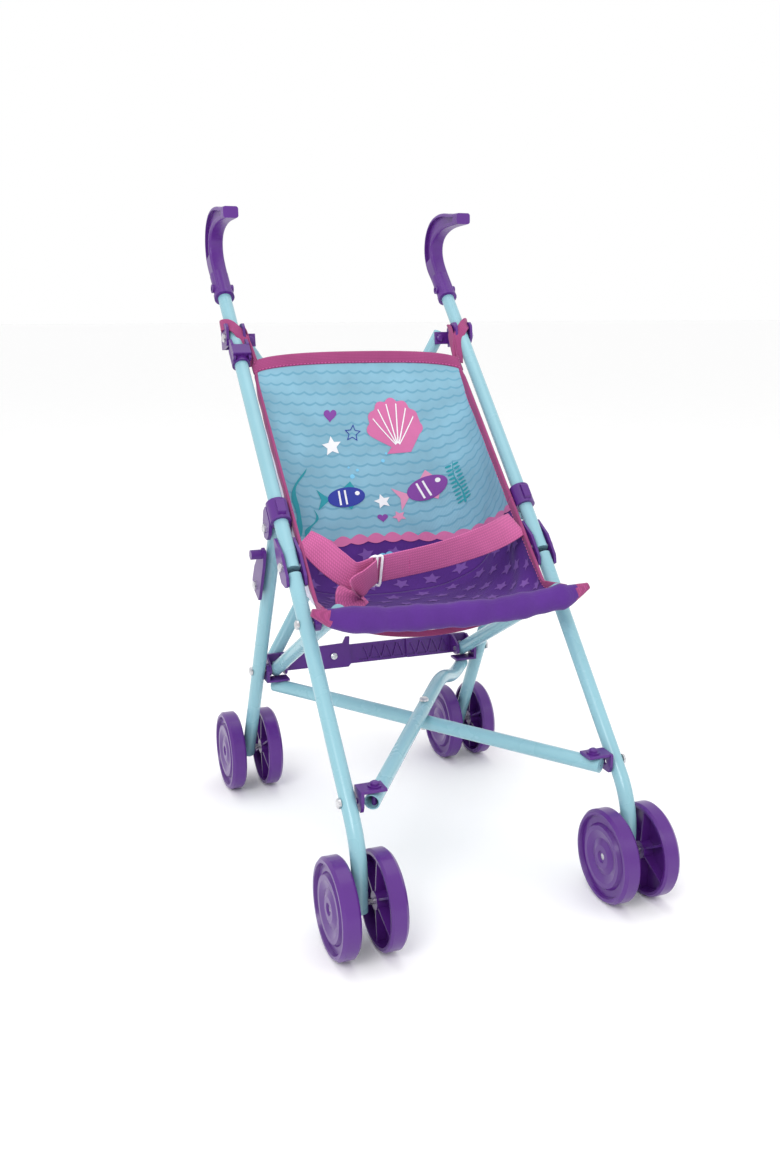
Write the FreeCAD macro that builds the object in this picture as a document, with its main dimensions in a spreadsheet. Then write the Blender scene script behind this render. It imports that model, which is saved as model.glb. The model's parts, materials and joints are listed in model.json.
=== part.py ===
import FreeCAD, Part
import math
import os
from FreeCAD import Placement, Rotation, Vector

# Doll stroller with an umbrella fold.  +Z up, the front faces -Y, +X is the pusher's left.
# The origin is the middle of the footprint, on the floor.

doc = FreeCAD.newDocument("doll_stroller")
sheet = doc.addObject("Spreadsheet::Sheet", "sizes")

SIZES = {
    # main places, seen from the side (y from the origin, z from the floor)
    "front_axle_y": -191.6, "axle_z": 38.2, "rear_axle_y": 139.4,
    "bracket_y": -166.7, "bracket_z": 108.3,
    "rail_front_y": -65.58, "rail_front_z": 219.51,
    "handle_foot_y": -29.3, "handle_foot_z": 259.4,
    "collar_pivot_y": 17.0, "collar_pivot_z": 283.8,
    "rear_pivot_y": 92.0, "rear_pivot_z": 133.3,
    "yoke_y": 145.9, "yoke_z": 438.9,
    "grip_y": 182.8, "grip_z": 476.2,
    "side_x": 115.0, "rail_x": 97.0, "cross_x": 97.0, "seat_cross_x": 94.0,
    # tubes, pins and screws
    "tube_od": 12.5, "tube_wall": 1.0, "end_cap": 1.6, "vent_d": 2.2, "boss_d": 8.8,
    "pin_d": 4.0, "pin_hole": 4.1, "head_d": 8.0, "head_t": 1.8,
    # wheels
    "wheel_od": 76.4, "wheel_width": 14.0, "wheel_offset": 18.2, "axle_d": 5.0, "axle_hole": 5.1,
    # moulded plates
    "cheek_gap": 0.35, "cheek_t": 2.4, "tab_t": 2.0,
    # cross tubes: distance of the back cross behind the side pivots, and of the seat cross below
    "back_offset": 28.4, "seat_drop": 18.0, "cross_spacing": 13.0, "seat_hump": 13.2, "strut_t": 4.6,
    # grips
    "grip_width": 14.0, "grip_depth": 15.0, "grip_recess": 3.2,
    # cloth
    "cloth_t": 2.6, "belt_t": 1.6, "belt_width": 20.0,
}
for row, (alias, value) in enumerate(SIZES.items(), start=1):
    sheet.set("A%d" % row, alias)
    sheet.set("B%d" % row, str(value))
    sheet.setAlias("B%d" % row, alias)
doc.recompute()


def size(alias):
    return float(sheet.get(alias))


SIDES = {"r": -1, "l": 1}
SIDE_X, RAIL_X, CROSS_X = size("side_x"), size("rail_x"), size("cross_x")
SEAT_X = size("seat_cross_x")
TUBE_R = size("tube_od") / 2
CHEEK_IN = TUBE_R + size("cheek_gap")
CHEEK_OUT = CHEEK_IN + size("cheek_t")


def pivot(name):
    return Vector(0, size(name + "_y"), size(name + "_z"))


FRONT_AXLE = Vector(0, size("front_axle_y"), size("axle_z"))
REAR_AXLE = Vector(0, size("rear_axle_y"), size("axle_z"))
BRACKET, RAIL_FRONT = pivot("bracket"), pivot("rail_front")
FOOT, COLLAR, REAR, YOKE, GRIP = (
    pivot(name) for name in ("handle_foot", "collar_pivot", "rear_pivot", "yoke", "grip"))


def unit(a, b):
    step = b - a
    return step.multiply(1 / step.Length)


HANDLE_DIR = unit(FOOT, GRIP)
FRONT_DIR = unit(BRACKET, FOOT)
REAR_DIR = unit(REAR, COLLAR)
RAIL_DIR = unit(REAR, RAIL_FRONT)
BACK_DIR = unit(REAR, YOKE)
BACK_NORMAL = Vector(0, BACK_DIR.z, -BACK_DIR.y)      # points to the rear
SEAT_REAR = REAR + Vector(0, 0, -size("seat_drop"))
SEAT_DIR = unit(BRACKET, SEAT_REAR)
SEAT_NORMAL = Vector(0, -SEAT_DIR.z, SEAT_DIR.y)      # points up


def at_x(point, x):
    return Vector(x, point.y, point.z)


def side_frame(side, origin, along, x=SIDE_X):
    """Local z runs along the tube, local y to its rear side, local x stays the frame's x."""
    turn = math.degrees(math.atan2(along.z, along.y)) - 90
    return Placement(at_x(origin, side * x), Rotation(Vector(1, 0, 0), turn))


# ---- small building blocks -------------------------------------------------------------

def rod(name, radius, length, base, along):
    part = doc.addObject("Part::Cylinder", name)
    part.setExpression("Radius", radius)
    part.setExpression("Height", str(length))
    part.Placement = Placement(base, Rotation(Vector(0, 0, 1), along))
    return part


def join(name, pieces):
    if len(pieces) == 1:
        return pieces[0]
    part = doc.addObject("Part::MultiFuse", name)
    part.Shapes = pieces
    return part


def cut(name, base, tool):
    part = doc.addObject("Part::Cut", name)
    part.Base, part.Tool = base, tool
    return part


def cut_all(name, base, tools):
    return cut(name, base, join(name + "_tools", tools))


def hole(name, point, along, length, radius="sizes.pin_hole / 2"):
    start = point - Vector(along).multiply(length / 2)
    return rod(name, radius, length, start, along)


def tube(name, start, end, holes=()):
    """Round tube with capped ends; holes are (point, direction) of its cross drillings."""
    along, length = unit(start, end), (end - start).Length
    cap = size("end_cap")
    outside = rod(name + "_outside", "sizes.tube_od / 2", length, start, along)
    inside = rod(name + "_inside", "sizes.tube_od / 2 - sizes.tube_wall", length - 2 * cap,
                 start + along * cap, along)
    vent = rod(name + "_vent", "sizes.vent_d / 2", length, start, along)
    drills = [hole("%s_drill_%d" % (name, i), point, way, size("tube_od") + 4)
              for i, (point, way) in enumerate(holes)]
    return cut_all(name, outside, [inside, vent] + drills)


def outline(body, plane, points, radius):
    """Closed outline with rounded corners, drawn on one of the body's own planes."""
    drawing = body.newObject("Sketcher::SketchObject", body.Name + "_outline")
    origin_plane = [f for f in body.Origin.OriginFeatures if f.Role == plane][0]
    drawing.AttachmentSupport = [(origin_plane, "")]
    drawing.MapMode = "FlatFace"
    corners = []
    count = len(points)
    for i in range(count):
        here = Vector(*points[i], 0)
        back = Vector(*points[i - 1], 0) - here
        ahead = Vector(*points[(i + 1) % count], 0) - here
        half_turn = back.getAngle(ahead) / 2
        reach = min(radius / math.tan(half_turn), 0.45 * back.Length, 0.45 * ahead.Length)
        first = here + Vector(back).normalize().multiply(reach)
        last = here + Vector(ahead).normalize().multiply(reach)
        inward = (Vector(back).normalize() + Vector(ahead).normalize()).normalize()
        fillet = reach * math.tan(half_turn)
        centre = here + inward.multiply(math.hypot(reach, fillet))
        middle = centre + Vector(here - centre).normalize().multiply(fillet)
        corners.append((first, middle, last))
    for i, (first, middle, last) in enumerate(corners):
        drawing.addGeometry(Part.Arc(first, middle, last), False)
        drawing.addGeometry(Part.LineSegment(last, corners[(i + 1) % count][0]), False)
    return drawing


def plate(name, place, points, x_low, x_high, radius=1.5):
    """Flat moulding: outline in the place's (y, z), thick from x_low to x_high in its x."""
    body = doc.addObject("PartDesign::Body", name)
    drawing = outline(body, "YZ_Plane", points, radius)
    pad = body.newObject("PartDesign::Pad", name + "_pad")
    pad.Profile = drawing
    pad.setExpression("Length", str(round(x_high - x_low, 4)))
    drawing.Visibility = False
    body.Placement = place.multiply(Placement(Vector(x_low, 0, 0), Rotation()))
    return body


def cheek_pair(name, place, points, inner=CHEEK_IN, outer=CHEEK_OUT, radius=1.5):
    return [plate(name + "_cheek_low", place, points, -outer, -inner, radius),
            plate(name + "_cheek_high", place, points, inner, outer, radius)]


def local(place, y, z, x=0.0):
    return place.multVec(Vector(x, y, z))


def screw(name, point, outward, shank, head="sizes.head_d / 2"):
    """Pan head on the outer face at point, with its shank running inward."""
    stem = rod(name + "_shank", "sizes.pin_d / 2", shank, point, outward * -1)
    disc = rod(name + "_head", head, size("head_t"), point, outward)
    crown = doc.addObject("Part::Cone", name + "_crown")
    crown.setExpression("Radius1", head)
    crown.setExpression("Radius2", head + " - 1.4")
    crown.setExpression("Height", "sizes.head_t / 2")
    crown.Placement = Placement(point + Vector(outward).multiply(size("head_t")),
                                Rotation(Vector(0, 0, 1), outward))
    return join(name, [stem, disc, crown])


parts = {}


def keep(node, part):
    part.Label = node
    parts[node] = part
    return part


X_AXIS = Vector(1, 0, 0)


# ---- side frames -----------------------------------------------------------------------

def rear_leg(tag, side):
    low = at_x(REAR_AXLE, side * SIDE_X) - REAR_DIR * 6.5
    high = at_x(COLLAR, side * SIDE_X) + REAR_DIR * 3
    drilled = [COLLAR, REAR] + ([LATCH_SEAT + Vector(0, REAR_DIR.z, -REAR_DIR.y) * 0.5]
                                if tag == "r" else [])
    leg = tube("rear_leg_" + tag + "_bare", low, high,
               [(at_x(p, side * SIDE_X), X_AXIS) for p in drilled])
    drill = hole("rear_leg_%s_axle_hole" % tag, at_x(REAR_AXLE, side * SIDE_X), X_AXIS, 20,
                 "sizes.axle_hole / 2")
    keep("rear_leg_" + tag, cut("rear_leg_" + tag, leg, drill))


def front_leg(tag, side):
    """Straight down from the channel, then bent to stand upright over the axle."""
    x = side * SIDE_X
    bend_reach = 26.0
    slope_to_knee = Vector(0, FRONT_AXLE.y, BRACKET.z - (BRACKET.y - FRONT_AXLE.y)
                           * FRONT_DIR.z / FRONT_DIR.y)
    knee = at_x(slope_to_knee, x)
    top = at_x(FOOT, x) - FRONT_DIR * 8.2
    bend_high = knee + FRONT_DIR * bend_reach
    bend_low = knee - Vector(0, 0, bend_reach)
    foot = at_x(FRONT_AXLE, x) - Vector(0, 0, 6.5)
    turn = FRONT_DIR.getAngle(Vector(0, 0, 1))
    bend_radius = bend_reach / math.tan(turn / 2)
    centre = bend_low + Vector(0, bend_radius, 0)
    middle = centre + Vector(0, -math.cos(turn / 2), math.sin(turn / 2)) * bend_radius
    path = doc.addObject("Part::Feature", "front_leg_%s_path" % tag)
    path.Shape = Part.Wire([Part.LineSegment(foot, bend_low).toShape(),
                            Part.Arc(bend_low, middle, bend_high).toShape(),
                            Part.LineSegment(bend_high, top).toShape()])
    sweeps = []
    for layer, radius in (("outside", "sizes.tube_od / 2"),
                          ("inside", "sizes.tube_od / 2 - sizes.tube_wall")):
        ring = doc.addObject("Part::Circle", "front_leg_%s_%s_ring" % (tag, layer))
        ring.setExpression("Radius", radius)
        ring.Placement = Placement(foot, Rotation())
        sweep = doc.addObject("Part::Sweep", "front_leg_%s_%s" % (tag, layer))
        sweep.Sections, sweep.Spine = [ring], (path, ["Edge1", "Edge2", "Edge3"])
        sweep.Solid, sweep.Frenet = True, False
        sweeps.append(sweep)
    drills = [hole("front_leg_%s_drill_%d" % (tag, i), at_x(p, x), X_AXIS, 20)
              for i, p in enumerate((BRACKET, RAIL_FRONT))]
    drills.append(hole("front_leg_%s_axle_hole" % tag, at_x(FRONT_AXLE, x), X_AXIS, 20,
                       "sizes.axle_hole / 2"))
    keep("front_leg_" + tag, cut_all("front_leg_" + tag, sweeps[0], [sweeps[1]] + drills))


def handle_tube(tag, side):
    x = side * SIDE_X
    low = at_x(FOOT, x) - HANDLE_DIR * 3.0
    high = at_x(GRIP, x) + HANDLE_DIR * 26
    keep("handle_tube_" + tag, tube("handle_tube_" + tag, low, high,
                                    [(at_x(FOOT, x), X_AXIS), (at_x(YOKE, x), X_AXIS)]))


def front_channel(tag, side):
    """Moulded channel on the front leg: two eared cheeks and a back web round the handle tube."""
    place = side_frame(side, FOOT, FRONT_DIR)
    ears = [(-6, -13), (-2, -19.5), (3, -18), (10.2, -9), (10.2, 11), (4.5, 30), (1.5, 29), (-6, 9)]
    cheeks = cheek_pair("front_channel_" + tag, place, ears)
    web = plate("front_channel_%s_web" % tag, place, [(8.0, -15), (10.2, -9), (10.2, 11), (8.0, 13)],
                -CHEEK_IN - 0.4, CHEEK_IN + 0.4, 0.3)
    drill = hole("front_channel_%s_hole" % tag, at_x(FOOT, side * SIDE_X), X_AXIS, 30)
    keep("front_channel_" + tag, cut("front_channel_" + tag,
                                     join("front_channel_%s_raw" % tag, cheeks + [web]), drill))


def collar(tag, side):
    """Sleeve on the handle tube with a backward tail that carries the rear leg's pivot."""
    place = side_frame(side, FOOT, HANDLE_DIR)
    low, high = 44.0, 64.0
    sleeve = rod("collar_%s_sleeve" % tag, "sizes.tube_od / 2 + 2.9", high - low,
                 local(place, 0, low), HANDLE_DIR)
    tail = [(2, 45), (1, 63), (10, 64), (21, 57), (25.5, 47), (20, 40), (12, 40)]
    cheeks = cheek_pair("collar_" + tag, place, tail, CHEEK_IN, CHEEK_OUT + 0.6, 3.0)
    lug = plate("collar_%s_lug" % tag, place, [(-8, 46), (-11.5, 48), (-11.5, 60), (-8, 62)],
                -3.5, 3.5, 1.0)
    bore = rod("collar_%s_bore" % tag, "sizes.tube_od / 2 + 0.05", high - low + 40,
               local(place, 0, low - 20), HANDLE_DIR)
    drill = hole("collar_%s_hole" % tag, at_x(COLLAR, side * SIDE_X), X_AXIS, 30)
    # the rear leg's rounded top turns inside the tail, so the sleeve's back is trimmed there
    room = hole("collar_%s_room" % tag, at_x(COLLAR, side * SIDE_X), X_AXIS, 2 * CHEEK_IN, "7.3")
    keep("collar_" + tag, cut_all("collar_" + tag,
                                  join("collar_%s_raw" % tag, [sleeve, lug] + cheeks),
                                  [bore, drill, room]))


def grip(tag, side):
    """Hooked hand grip, an I section made from a side outline with a recess in each flank."""
    depth, width, recess = size("grip_depth"), size("grip_width"), size("grip_recess")
    spine = [(0, -2), (0, 14), (0, 27), (-1.2, 42), (-7, 56), (-20, 63.5), (-39, 59), (-60, 44), (-78, 27)]
    place = side_frame(side, GRIP, HANDLE_DIR)
    curve = Part.BSplineCurve()
    curve.interpolate([Vector(0, y, z) for y, z in spine])
    first, last = curve.FirstParameter, curve.LastParameter
    samples = [first + (last - first) * i / 14 for i in range(15)]

    def flank(offset, keys):
        """Points beside the spine; the outline swells behind the palm and thins to the tip."""
        points = []
        for key in keys:
            run = (key - first) / (last - first)
            swell = 5.0 * math.sin(math.pi * min(1.0, max(0.0, (run - 0.22) / 0.62))) if offset < 0 else 0.0
            thin = 2.4 * max(0.0, (run - 0.55) / 0.45)
            tangent = Vector(curve.tangent(key)[0])
            reach = math.copysign(abs(offset) + swell - thin, offset)
            points.append(curve.value(key) + Vector(0, -tangent.z, tangent.y) * reach)
        return points

    def blade(half_depth, keys, x_low, x_high):
        edges = []
        for sign in (1, -1):
            edge = Part.BSplineCurve()
            edge.interpolate(flank(sign * half_depth, keys))
            edges.append(edge.toShape())
        ends = [Part.LineSegment(flank(half_depth, [key])[0], flank(-half_depth, [key])[0]).toShape()
                for key in (keys[0], keys[-1])]
        face = Part.Face(Part.Wire(Part.__sortEdges__(edges + ends)))
        face.translate(Vector(x_low, 0, 0))
        return face.extrude(Vector(x_high - x_low, 0, 0))

    shape = blade(depth / 2, samples, -width / 2, width / 2)
    shape = shape.makeFillet(2.4, [e for e in shape.Edges if e.Length > 30])
    pocket_keys = samples[5:-1]
    for flank_sign in (-1, 1):
        near, far = flank_sign * (width / 2 - recess), flank_sign * (width / 2 + 2)
        shape = shape.cut(blade(depth / 2 - 3.2, pocket_keys, min(near, far), max(near, far)))
    socket = TUBE_R + 2.4
    boss = Part.makeCylinder(socket, 29, Vector(0, 0, -2), Vector(0, 0, 1))
    rim = Part.makeCylinder(socket + 0.9, 4, Vector(0, 0, -2), Vector(0, 0, 1))
    ears = Part.makeCylinder(4.0, 2 * socket + 3.2, Vector(-socket - 1.6, 0, 10), Vector(1, 0, 0))
    bore = Part.makeCylinder(TUBE_R + 0.05, 29, Vector(0, 0, -3), Vector(0, 0, 1))
    shape = shape.fuse([boss, rim, ears]).cut(bore)
    for ear_sign in (-1, 1):
        shape = shape.cut(Part.makeCylinder(2.2, 3, Vector(ear_sign * (socket + 0.6), 0, 10),
                                            Vector(ear_sign, 0, 0)))
    shape = shape.removeSplitter()
    part = doc.addObject("Part::Feature", "grip_" + tag)
    part.Shape = shape
    part.Placement = place
    keep("grip_" + tag, part)


def seat_rail(tag, side):
    x = side * RAIL_X
    low, high = at_x(REAR, x) - RAIL_DIR * 5, at_x(RAIL_FRONT, x) + RAIL_DIR * 34
    keep("seat_rail_" + tag, tube("seat_rail_" + tag, low, high, [(at_x(REAR, x), X_AXIS)]))


# ---- brackets at the rear pivot, the yokes and the front brackets ------------------------

BACK_OFFSET, SPREAD = size("back_offset"), size("cross_spacing") / 2
TAB = size("tab_t")
PIN_RISE = 4.0                                    # the cross pins sit this far above the rear pivot
FRONT_FACE = BACK_OFFSET - SPREAD - TUBE_R        # front side of the front back tube
RAIL_IN, RAIL_OUT = RAIL_X - TUBE_R - 0.4, RAIL_X + TUBE_R + 0.4
LEG_IN = SIDE_X - TUBE_R


def slab(name, place, side, lateral, y_range, z_range, radius=0.6):
    """Block between two distances from the middle plane, on the given side."""
    (y0, y1), (z0, z1) = y_range, z_range
    x_low, x_high = sorted((side * lateral[0], side * lateral[1]))
    return plate(name, place, [(y0, z0), (y1, z0), (y1, z1), (y0, z1)], x_low, x_high, radius)


def side_plate(name, place, side, lateral, points, radius=1.5):
    x_low, x_high = sorted((side * lateral[0], side * lateral[1]))
    return plate(name, place, points, x_low, x_high, radius)


def rear_yoke(tag, side):
    """Clevis on the rear pivot that straddles the rail and carries the back cross behind it."""
    name = "rear_yoke_" + tag
    place = side_frame(side, REAR, BACK_DIR, 0)
    cheek = [(-6, -3), (-3, -6), (3, -6), (10.2, -3), (10.2, 13), (7.5, 13), (-3, 6), (-6, 3)]
    inner = side_plate(name + "_inner", place, side, (RAIL_IN - 2.2, RAIL_IN), cheek)
    outer = side_plate(name + "_outer", place, side, (RAIL_OUT, RAIL_OUT + 1.8), cheek)
    bridge = slab(name + "_bridge", place, side, (RAIL_IN - 2.2, RAIL_OUT + 1.8),
                  (8.3, 8.3 + TAB), (-4.5, 13))
    reach = FRONT_FACE - 0.3 + (2 * SPREAD if side > 0 else 0)
    boss = rod(name + "_boss", "sizes.boss_d / 2", reach - 8.8, local(place, 8.8, PIN_RISE, side * CROSS_X),
               BACK_NORMAL)
    solids = [inner, outer, bridge, boss]
    tools = [hole(name + "_hole", at_x(REAR, side * RAIL_X), X_AXIS, 40),
             hole(name + "_pin_hole", local(place, 15, PIN_RISE, side * CROSS_X), BACK_NORMAL, 60)]
    keep(name, cut_all(name, join(name + "_raw", solids), tools))


def seat_bracket(tag, side):
    """Arm on the rear pivot, outside the yoke, that carries a seat tube below it."""
    name = "seat_bracket_" + tag
    place = side_frame(side, SEAT_REAR, SEAT_DIR, 0)
    drop = size("seat_drop")
    wall = [(-TUBE_R - 0.35, -7), (-TUBE_R - 0.35, 7), (-drop, 6.5), (-drop - 5, 4), (-drop - 5, -4),
            (-drop, -6.5)]
    cheek = side_plate(name + "_cheek", place, side, (RAIL_OUT + 2.1, LEG_IN - 0.3), wall)
    arm = slab(name + "_arm", place, side, (86.5, LEG_IN - 0.3),
               (-TUBE_R - 0.35 - 2.2, -TUBE_R - 0.35), (-7, 7))
    pin = rod(name + "_pin", "sizes.pin_d / 2", 2.4 + 2 * TUBE_R if side < 0 else 2.4,
              local(place, -TUBE_R - 2.55, 0, side * SEAT_X), SEAT_NORMAL * -1)
    tool = hole(name + "_hole", at_x(REAR, side * SIDE_X), X_AXIS, 40)
    keep(name, cut(name, join(name + "_raw", [cheek, arm, pin]), tool))


def front_bracket(tag, side):
    """L bracket at the front leg: a wall on the leg's inner side and an arm over the tube end."""
    name = "front_bracket_" + tag
    place = side_frame(side, BRACKET, SEAT_DIR, 0)
    top = -TUBE_R - (1.3 if side < 0 else 0.35)      # the right end of the stepped tube tilts
    wall = [(7, -7), (7, 6), (top - 2.6, 8), (top - 2.6, -9), (2, -9)]
    cheek = side_plate(name + "_wall", place, side, (LEG_IN - 3.6, LEG_IN - 1.2), wall)
    arm = slab(name + "_arm", place, side, (86.5, LEG_IN - 1.4), (top - 2.6, top), (-8, 8), 1.0)
    boss = rod(name + "_boss", "5.4", 1.4, local(place, top - 2.4, 0, side * SEAT_X), SEAT_NORMAL)
    pin = screw(name + "_pin", local(place, top - 3.8, 0, side * SEAT_X), SEAT_NORMAL,
                (4.6 if side < 0 else 3.8) + 2 * TUBE_R, "3.4")
    tool = hole(name + "_screw_hole", at_x(BRACKET, side * SIDE_X), X_AXIS, 30, "2.6")
    keep(name, cut(name, join(name + "_raw", [cheek, arm, boss, pin]), tool))


def top_yoke(tag, side):
    """Clevis round the handle tube with a slot for its screw and a tab for the back tube."""
    name = "top_yoke_" + tag
    place = side_frame(side, YOKE, BACK_DIR, 0)
    reach = FRONT_FACE - 0.3
    depth = (reach - TAB, reach)
    cheek = [(-6.5, -2), (-3, -7.5), (reach, -9), (reach, 9), (4, 13), (-3, 13), (-6.5, 9)]
    solids = [side_plate(name + "_inner", place, side, (SIDE_X - CHEEK_OUT, SIDE_X - CHEEK_IN),
                         cheek, 2.5),
              side_plate(name + "_outer", place, side, (SIDE_X + CHEEK_IN, SIDE_X + CHEEK_OUT),
                         cheek, 2.5),
              slab(name + "_web", place, side, (SIDE_X - CHEEK_OUT, SIDE_X + CHEEK_OUT), depth,
                   (-9, -1)),
              slab(name + "_tab", place, side, (92, SIDE_X - CHEEK_IN), depth, (-6, 6))]
    if side < 0:
        solids.append(rod(name + "_boss", "sizes.boss_d / 2", 2 * SPREAD + 0.5,
                          local(place, reach - 0.5, 0, side * CROSS_X), BACK_NORMAL))
    slot = side_plate(name + "_slot", place, side, (SIDE_X - 20, SIDE_X + 20),
                      [(-2.8, -3.8), (2.8, -3.8), (2.8, 2.8), (-2.8, 2.8)], 2.7)
    pin = screw(name + "_pin", local(place, reach - TAB, 0, side * CROSS_X), BACK_NORMAL * -1,
                TAB + (2 * SPREAD if side < 0 else 0) + 2 * TUBE_R, "3.4")
    keep(name, join(name, [cut(name + "_slotted", join(name + "_raw", solids), slot), pin]))


# ---- cross tubes -------------------------------------------------------------------------

def back_tubes():
    """The tall cross behind the seat: two straight tubes, pinned where they pass."""
    low = REAR + BACK_NORMAL * BACK_OFFSET + BACK_DIR * PIN_RISE
    high = YOKE + BACK_NORMAL * BACK_OFFSET
    middle = (low + high) * 0.5
    for number, (low_side, shift) in enumerate(((-1, -SPREAD), (1, SPREAD)), start=1):
        start = at_x(low, low_side * CROSS_X) + BACK_NORMAL * shift
        end = at_x(high, -low_side * CROSS_X) + BACK_NORMAL * shift
        along = unit(start, end)
        centre = middle + BACK_NORMAL * shift
        node = "back_tube_%d" % number
        keep(node, tube(node, start - along * 7, end + along * 7,
                        [(start, BACK_NORMAL), (end, BACK_NORMAL), (centre, BACK_NORMAL)]))
    shank = 4 * TUBE_R + 3
    keep("back_cross_screw", screw("back_cross_screw",
                                   middle + BACK_NORMAL * (SPREAD + TUBE_R), BACK_NORMAL, shank))


def seat_tubes():
    """The cross under the seat: one straight tube and one that steps over it."""
    hump = size("seat_hump")
    rear, front = at_x(SEAT_REAR, -SEAT_X), at_x(BRACKET, SEAT_X)
    along = unit(rear, front)
    middle = (rear + front) * 0.5
    keep("seat_tube_1", tube("seat_tube_1", rear - along * 7, front + along * 7,
                             [(rear, SEAT_NORMAL), (middle, SEAT_NORMAL), (front, SEAT_NORMAL)]))
    rear, front = at_x(SEAT_REAR, SEAT_X), at_x(BRACKET, -SEAT_X)
    along, length = unit(rear, front), (front - rear).Length
    peak_at, flat_end = 92.0, 34.0
    peak = hump * (length - peak_at) / (length / 2)
    corners = [rear - along * 7, rear + along * flat_end,
               rear + along * peak_at + SEAT_NORMAL * peak, front + along * 7]
    edges, cursor = [], corners[0]
    for before, corner, after in zip(corners, corners[1:], corners[2:]):
        inward, outward = unit(corner, before), unit(corner, after)
        half = inward.getAngle(outward) / 2
        reach = 23.0
        first, last = corner + inward * reach, corner + outward * reach
        radius = reach * math.tan(half)
        bisector = (inward + outward).normalize()
        centre = corner + bisector * math.hypot(reach, radius)
        edges.append(Part.LineSegment(cursor, first).toShape())
        edges.append(Part.Arc(first, centre - bisector * radius, last).toShape())
        cursor = last
    edges.append(Part.LineSegment(cursor, corners[-1]).toShape())
    path = doc.addObject("Part::Feature", "seat_tube_2_path")
    path.Shape = Part.Wire(edges)
    sweeps = []
    for layer, radius in (("outside", "sizes.tube_od / 2"),
                          ("inside", "sizes.tube_od / 2 - sizes.tube_wall")):
        ring = doc.addObject("Part::Circle", "seat_tube_2_%s_ring" % layer)
        ring.setExpression("Radius", radius)
        ring.Placement = Placement(corners[0], Rotation(Vector(0, 0, 1), along))
        sweep = doc.addObject("Part::Sweep", "seat_tube_2_" + layer)
        sweep.Sections = [ring]
        sweep.Spine = (path, ["Edge%d" % (i + 1) for i in range(len(edges))])
        sweep.Solid, sweep.Frenet = True, False
        sweeps.append(sweep)
    crossing = middle + SEAT_NORMAL * hump
    drills = [hole("seat_tube_2_drill_%d" % i, p, SEAT_NORMAL, 22)
              for i, p in enumerate((rear, crossing, front))]
    keep("seat_tube_2", cut_all("seat_tube_2", sweeps[0], [sweeps[1]] + drills))
    keep("seat_cross_screw", screw("seat_cross_screw", crossing + SEAT_NORMAL * (TUBE_R + 0.5),
                                   SEAT_NORMAL, hump + 2 * TUBE_R + 1.5))


# ---- lock strut between the rear yokes -----------------------------------------------------

HINGE_X = -36.5                                   # the strut's hinge screw, from the middle plane


def lock_strut():
    """Two flat halves that lie straight when the frame is open and fold upward."""
    place = Placement(REAR, side_frame(1, REAR, BACK_DIR, 0).Rotation)
    rear = FRONT_FACE - 0.35
    front = rear - size("strut_t")
    half_height = 9.0

    def beam(name, points, y_range, radius):
        """Plate in the (x, z) of the place, thick along its y."""
        body = doc.addObject("PartDesign::Body", name)
        drawing = outline(body, "XZ_Plane", points, radius)
        pad = body.newObject("PartDesign::Pad", name + "_pad")
        pad.Profile = drawing
        pad.setExpression("Length", str(round(y_range[1] - y_range[0], 4)))
        pad.Reversed = True
        body.Placement = place.multiply(Placement(Vector(0, y_range[0], 0), Rotation()))
        return body

    low, high = PIN_RISE - half_height, PIN_RISE + half_height
    thin = size("strut_t") / 2 - 0.15
    far = -CROSS_X - 8
    box_web = beam("strut_box_web", [(far, low), (-24, low), (-24, high), (far, high)],
                   (front, front + thin), 3.0)
    box_plate = beam("strut_box_plate", [(-55, low - 2), (-51, low - 3), (-22, low - 3), (-19, low),
                                         (-19, high), (-22, high + 3), (-55, high + 2)],
                     (front, front + thin), 1.2)
    box_body = beam("strut_box_body", [(far, low), (-62, low), (-62, high), (far, high)],
                    (front, rear), 3.0)
    hook = beam("strut_hook", [(-28, high), (-20, high), (-19, high + 9), (-23, high + 9)],
                (front, front + thin), 0.9)
    screw_hole = hole("strut_box_hole", local(place, front, PIN_RISE, HINGE_X), BACK_NORMAL, 4.2)
    end_hole = hole("strut_box_end_hole", local(place, front, PIN_RISE, -CROSS_X), BACK_NORMAL, 30,
                    "sizes.boss_d / 2 + 0.1")
    keep("strut_box", cut_all("strut_box", join("strut_box_raw", [box_web, box_plate, box_body, hook]),
                              [screw_hole, end_hole]))
    low, high = low - 0.5, high + 0.5
    tongue = beam("strut_truss_tongue", [(-45, low), (50, low), (50, high), (-45, high)],
                  (front + thin + 0.3, rear), 3.0)
    bar = beam("strut_truss_bar", [(40, low), (CROSS_X + 8, low), (CROSS_X + 8, high), (40, high)],
               (front, rear), 1.0)
    pockets = []
    for i in range(8):
        left, face = -9.5 + i * 12.2, front if i > 3 else front + thin + 0.3
        for up in (True, False):
            if not up and i in (3, 7):
                continue
            base, tip = (low + 2.6, high - 3.0) if up else (high - 2.6, low + 3.0)
            shift = 0 if up else 6.1
            pockets.append(beam("strut_pocket_%d_%d" % (i, up),
                                [(left + shift, base), (left + shift + 9.6, base),
                                 (left + shift + 4.8, tip)], (face - 1, face + 1.1), 0.5))
    truss = cut_all("strut_truss_raw", join("strut_truss_joined", [tongue, bar]), pockets)
    keep("strut_truss", cut("strut_truss", truss,
                            hole("strut_truss_end_hole", local(place, front, PIN_RISE, CROSS_X),
                                 BACK_NORMAL, 30, "sizes.boss_d / 2 + 0.1")))
    keep("strut_screws", screw("strut_screws", local(place, front, PIN_RISE, HINGE_X), BACK_NORMAL * -1,
                               2.0, "3.2"))


# ---- wheels, axles and screws ----------------------------------------------------------------

def axle(node, point, side):
    """Steel axle through a leg, ending inside the hubs of its two wheels."""
    length = 2 * size("wheel_offset") + size("wheel_width") - 4
    keep(node, rod(node, "sizes.axle_d / 2", length,
                   at_x(point, side * SIDE_X - length / 2), X_AXIS))


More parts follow.
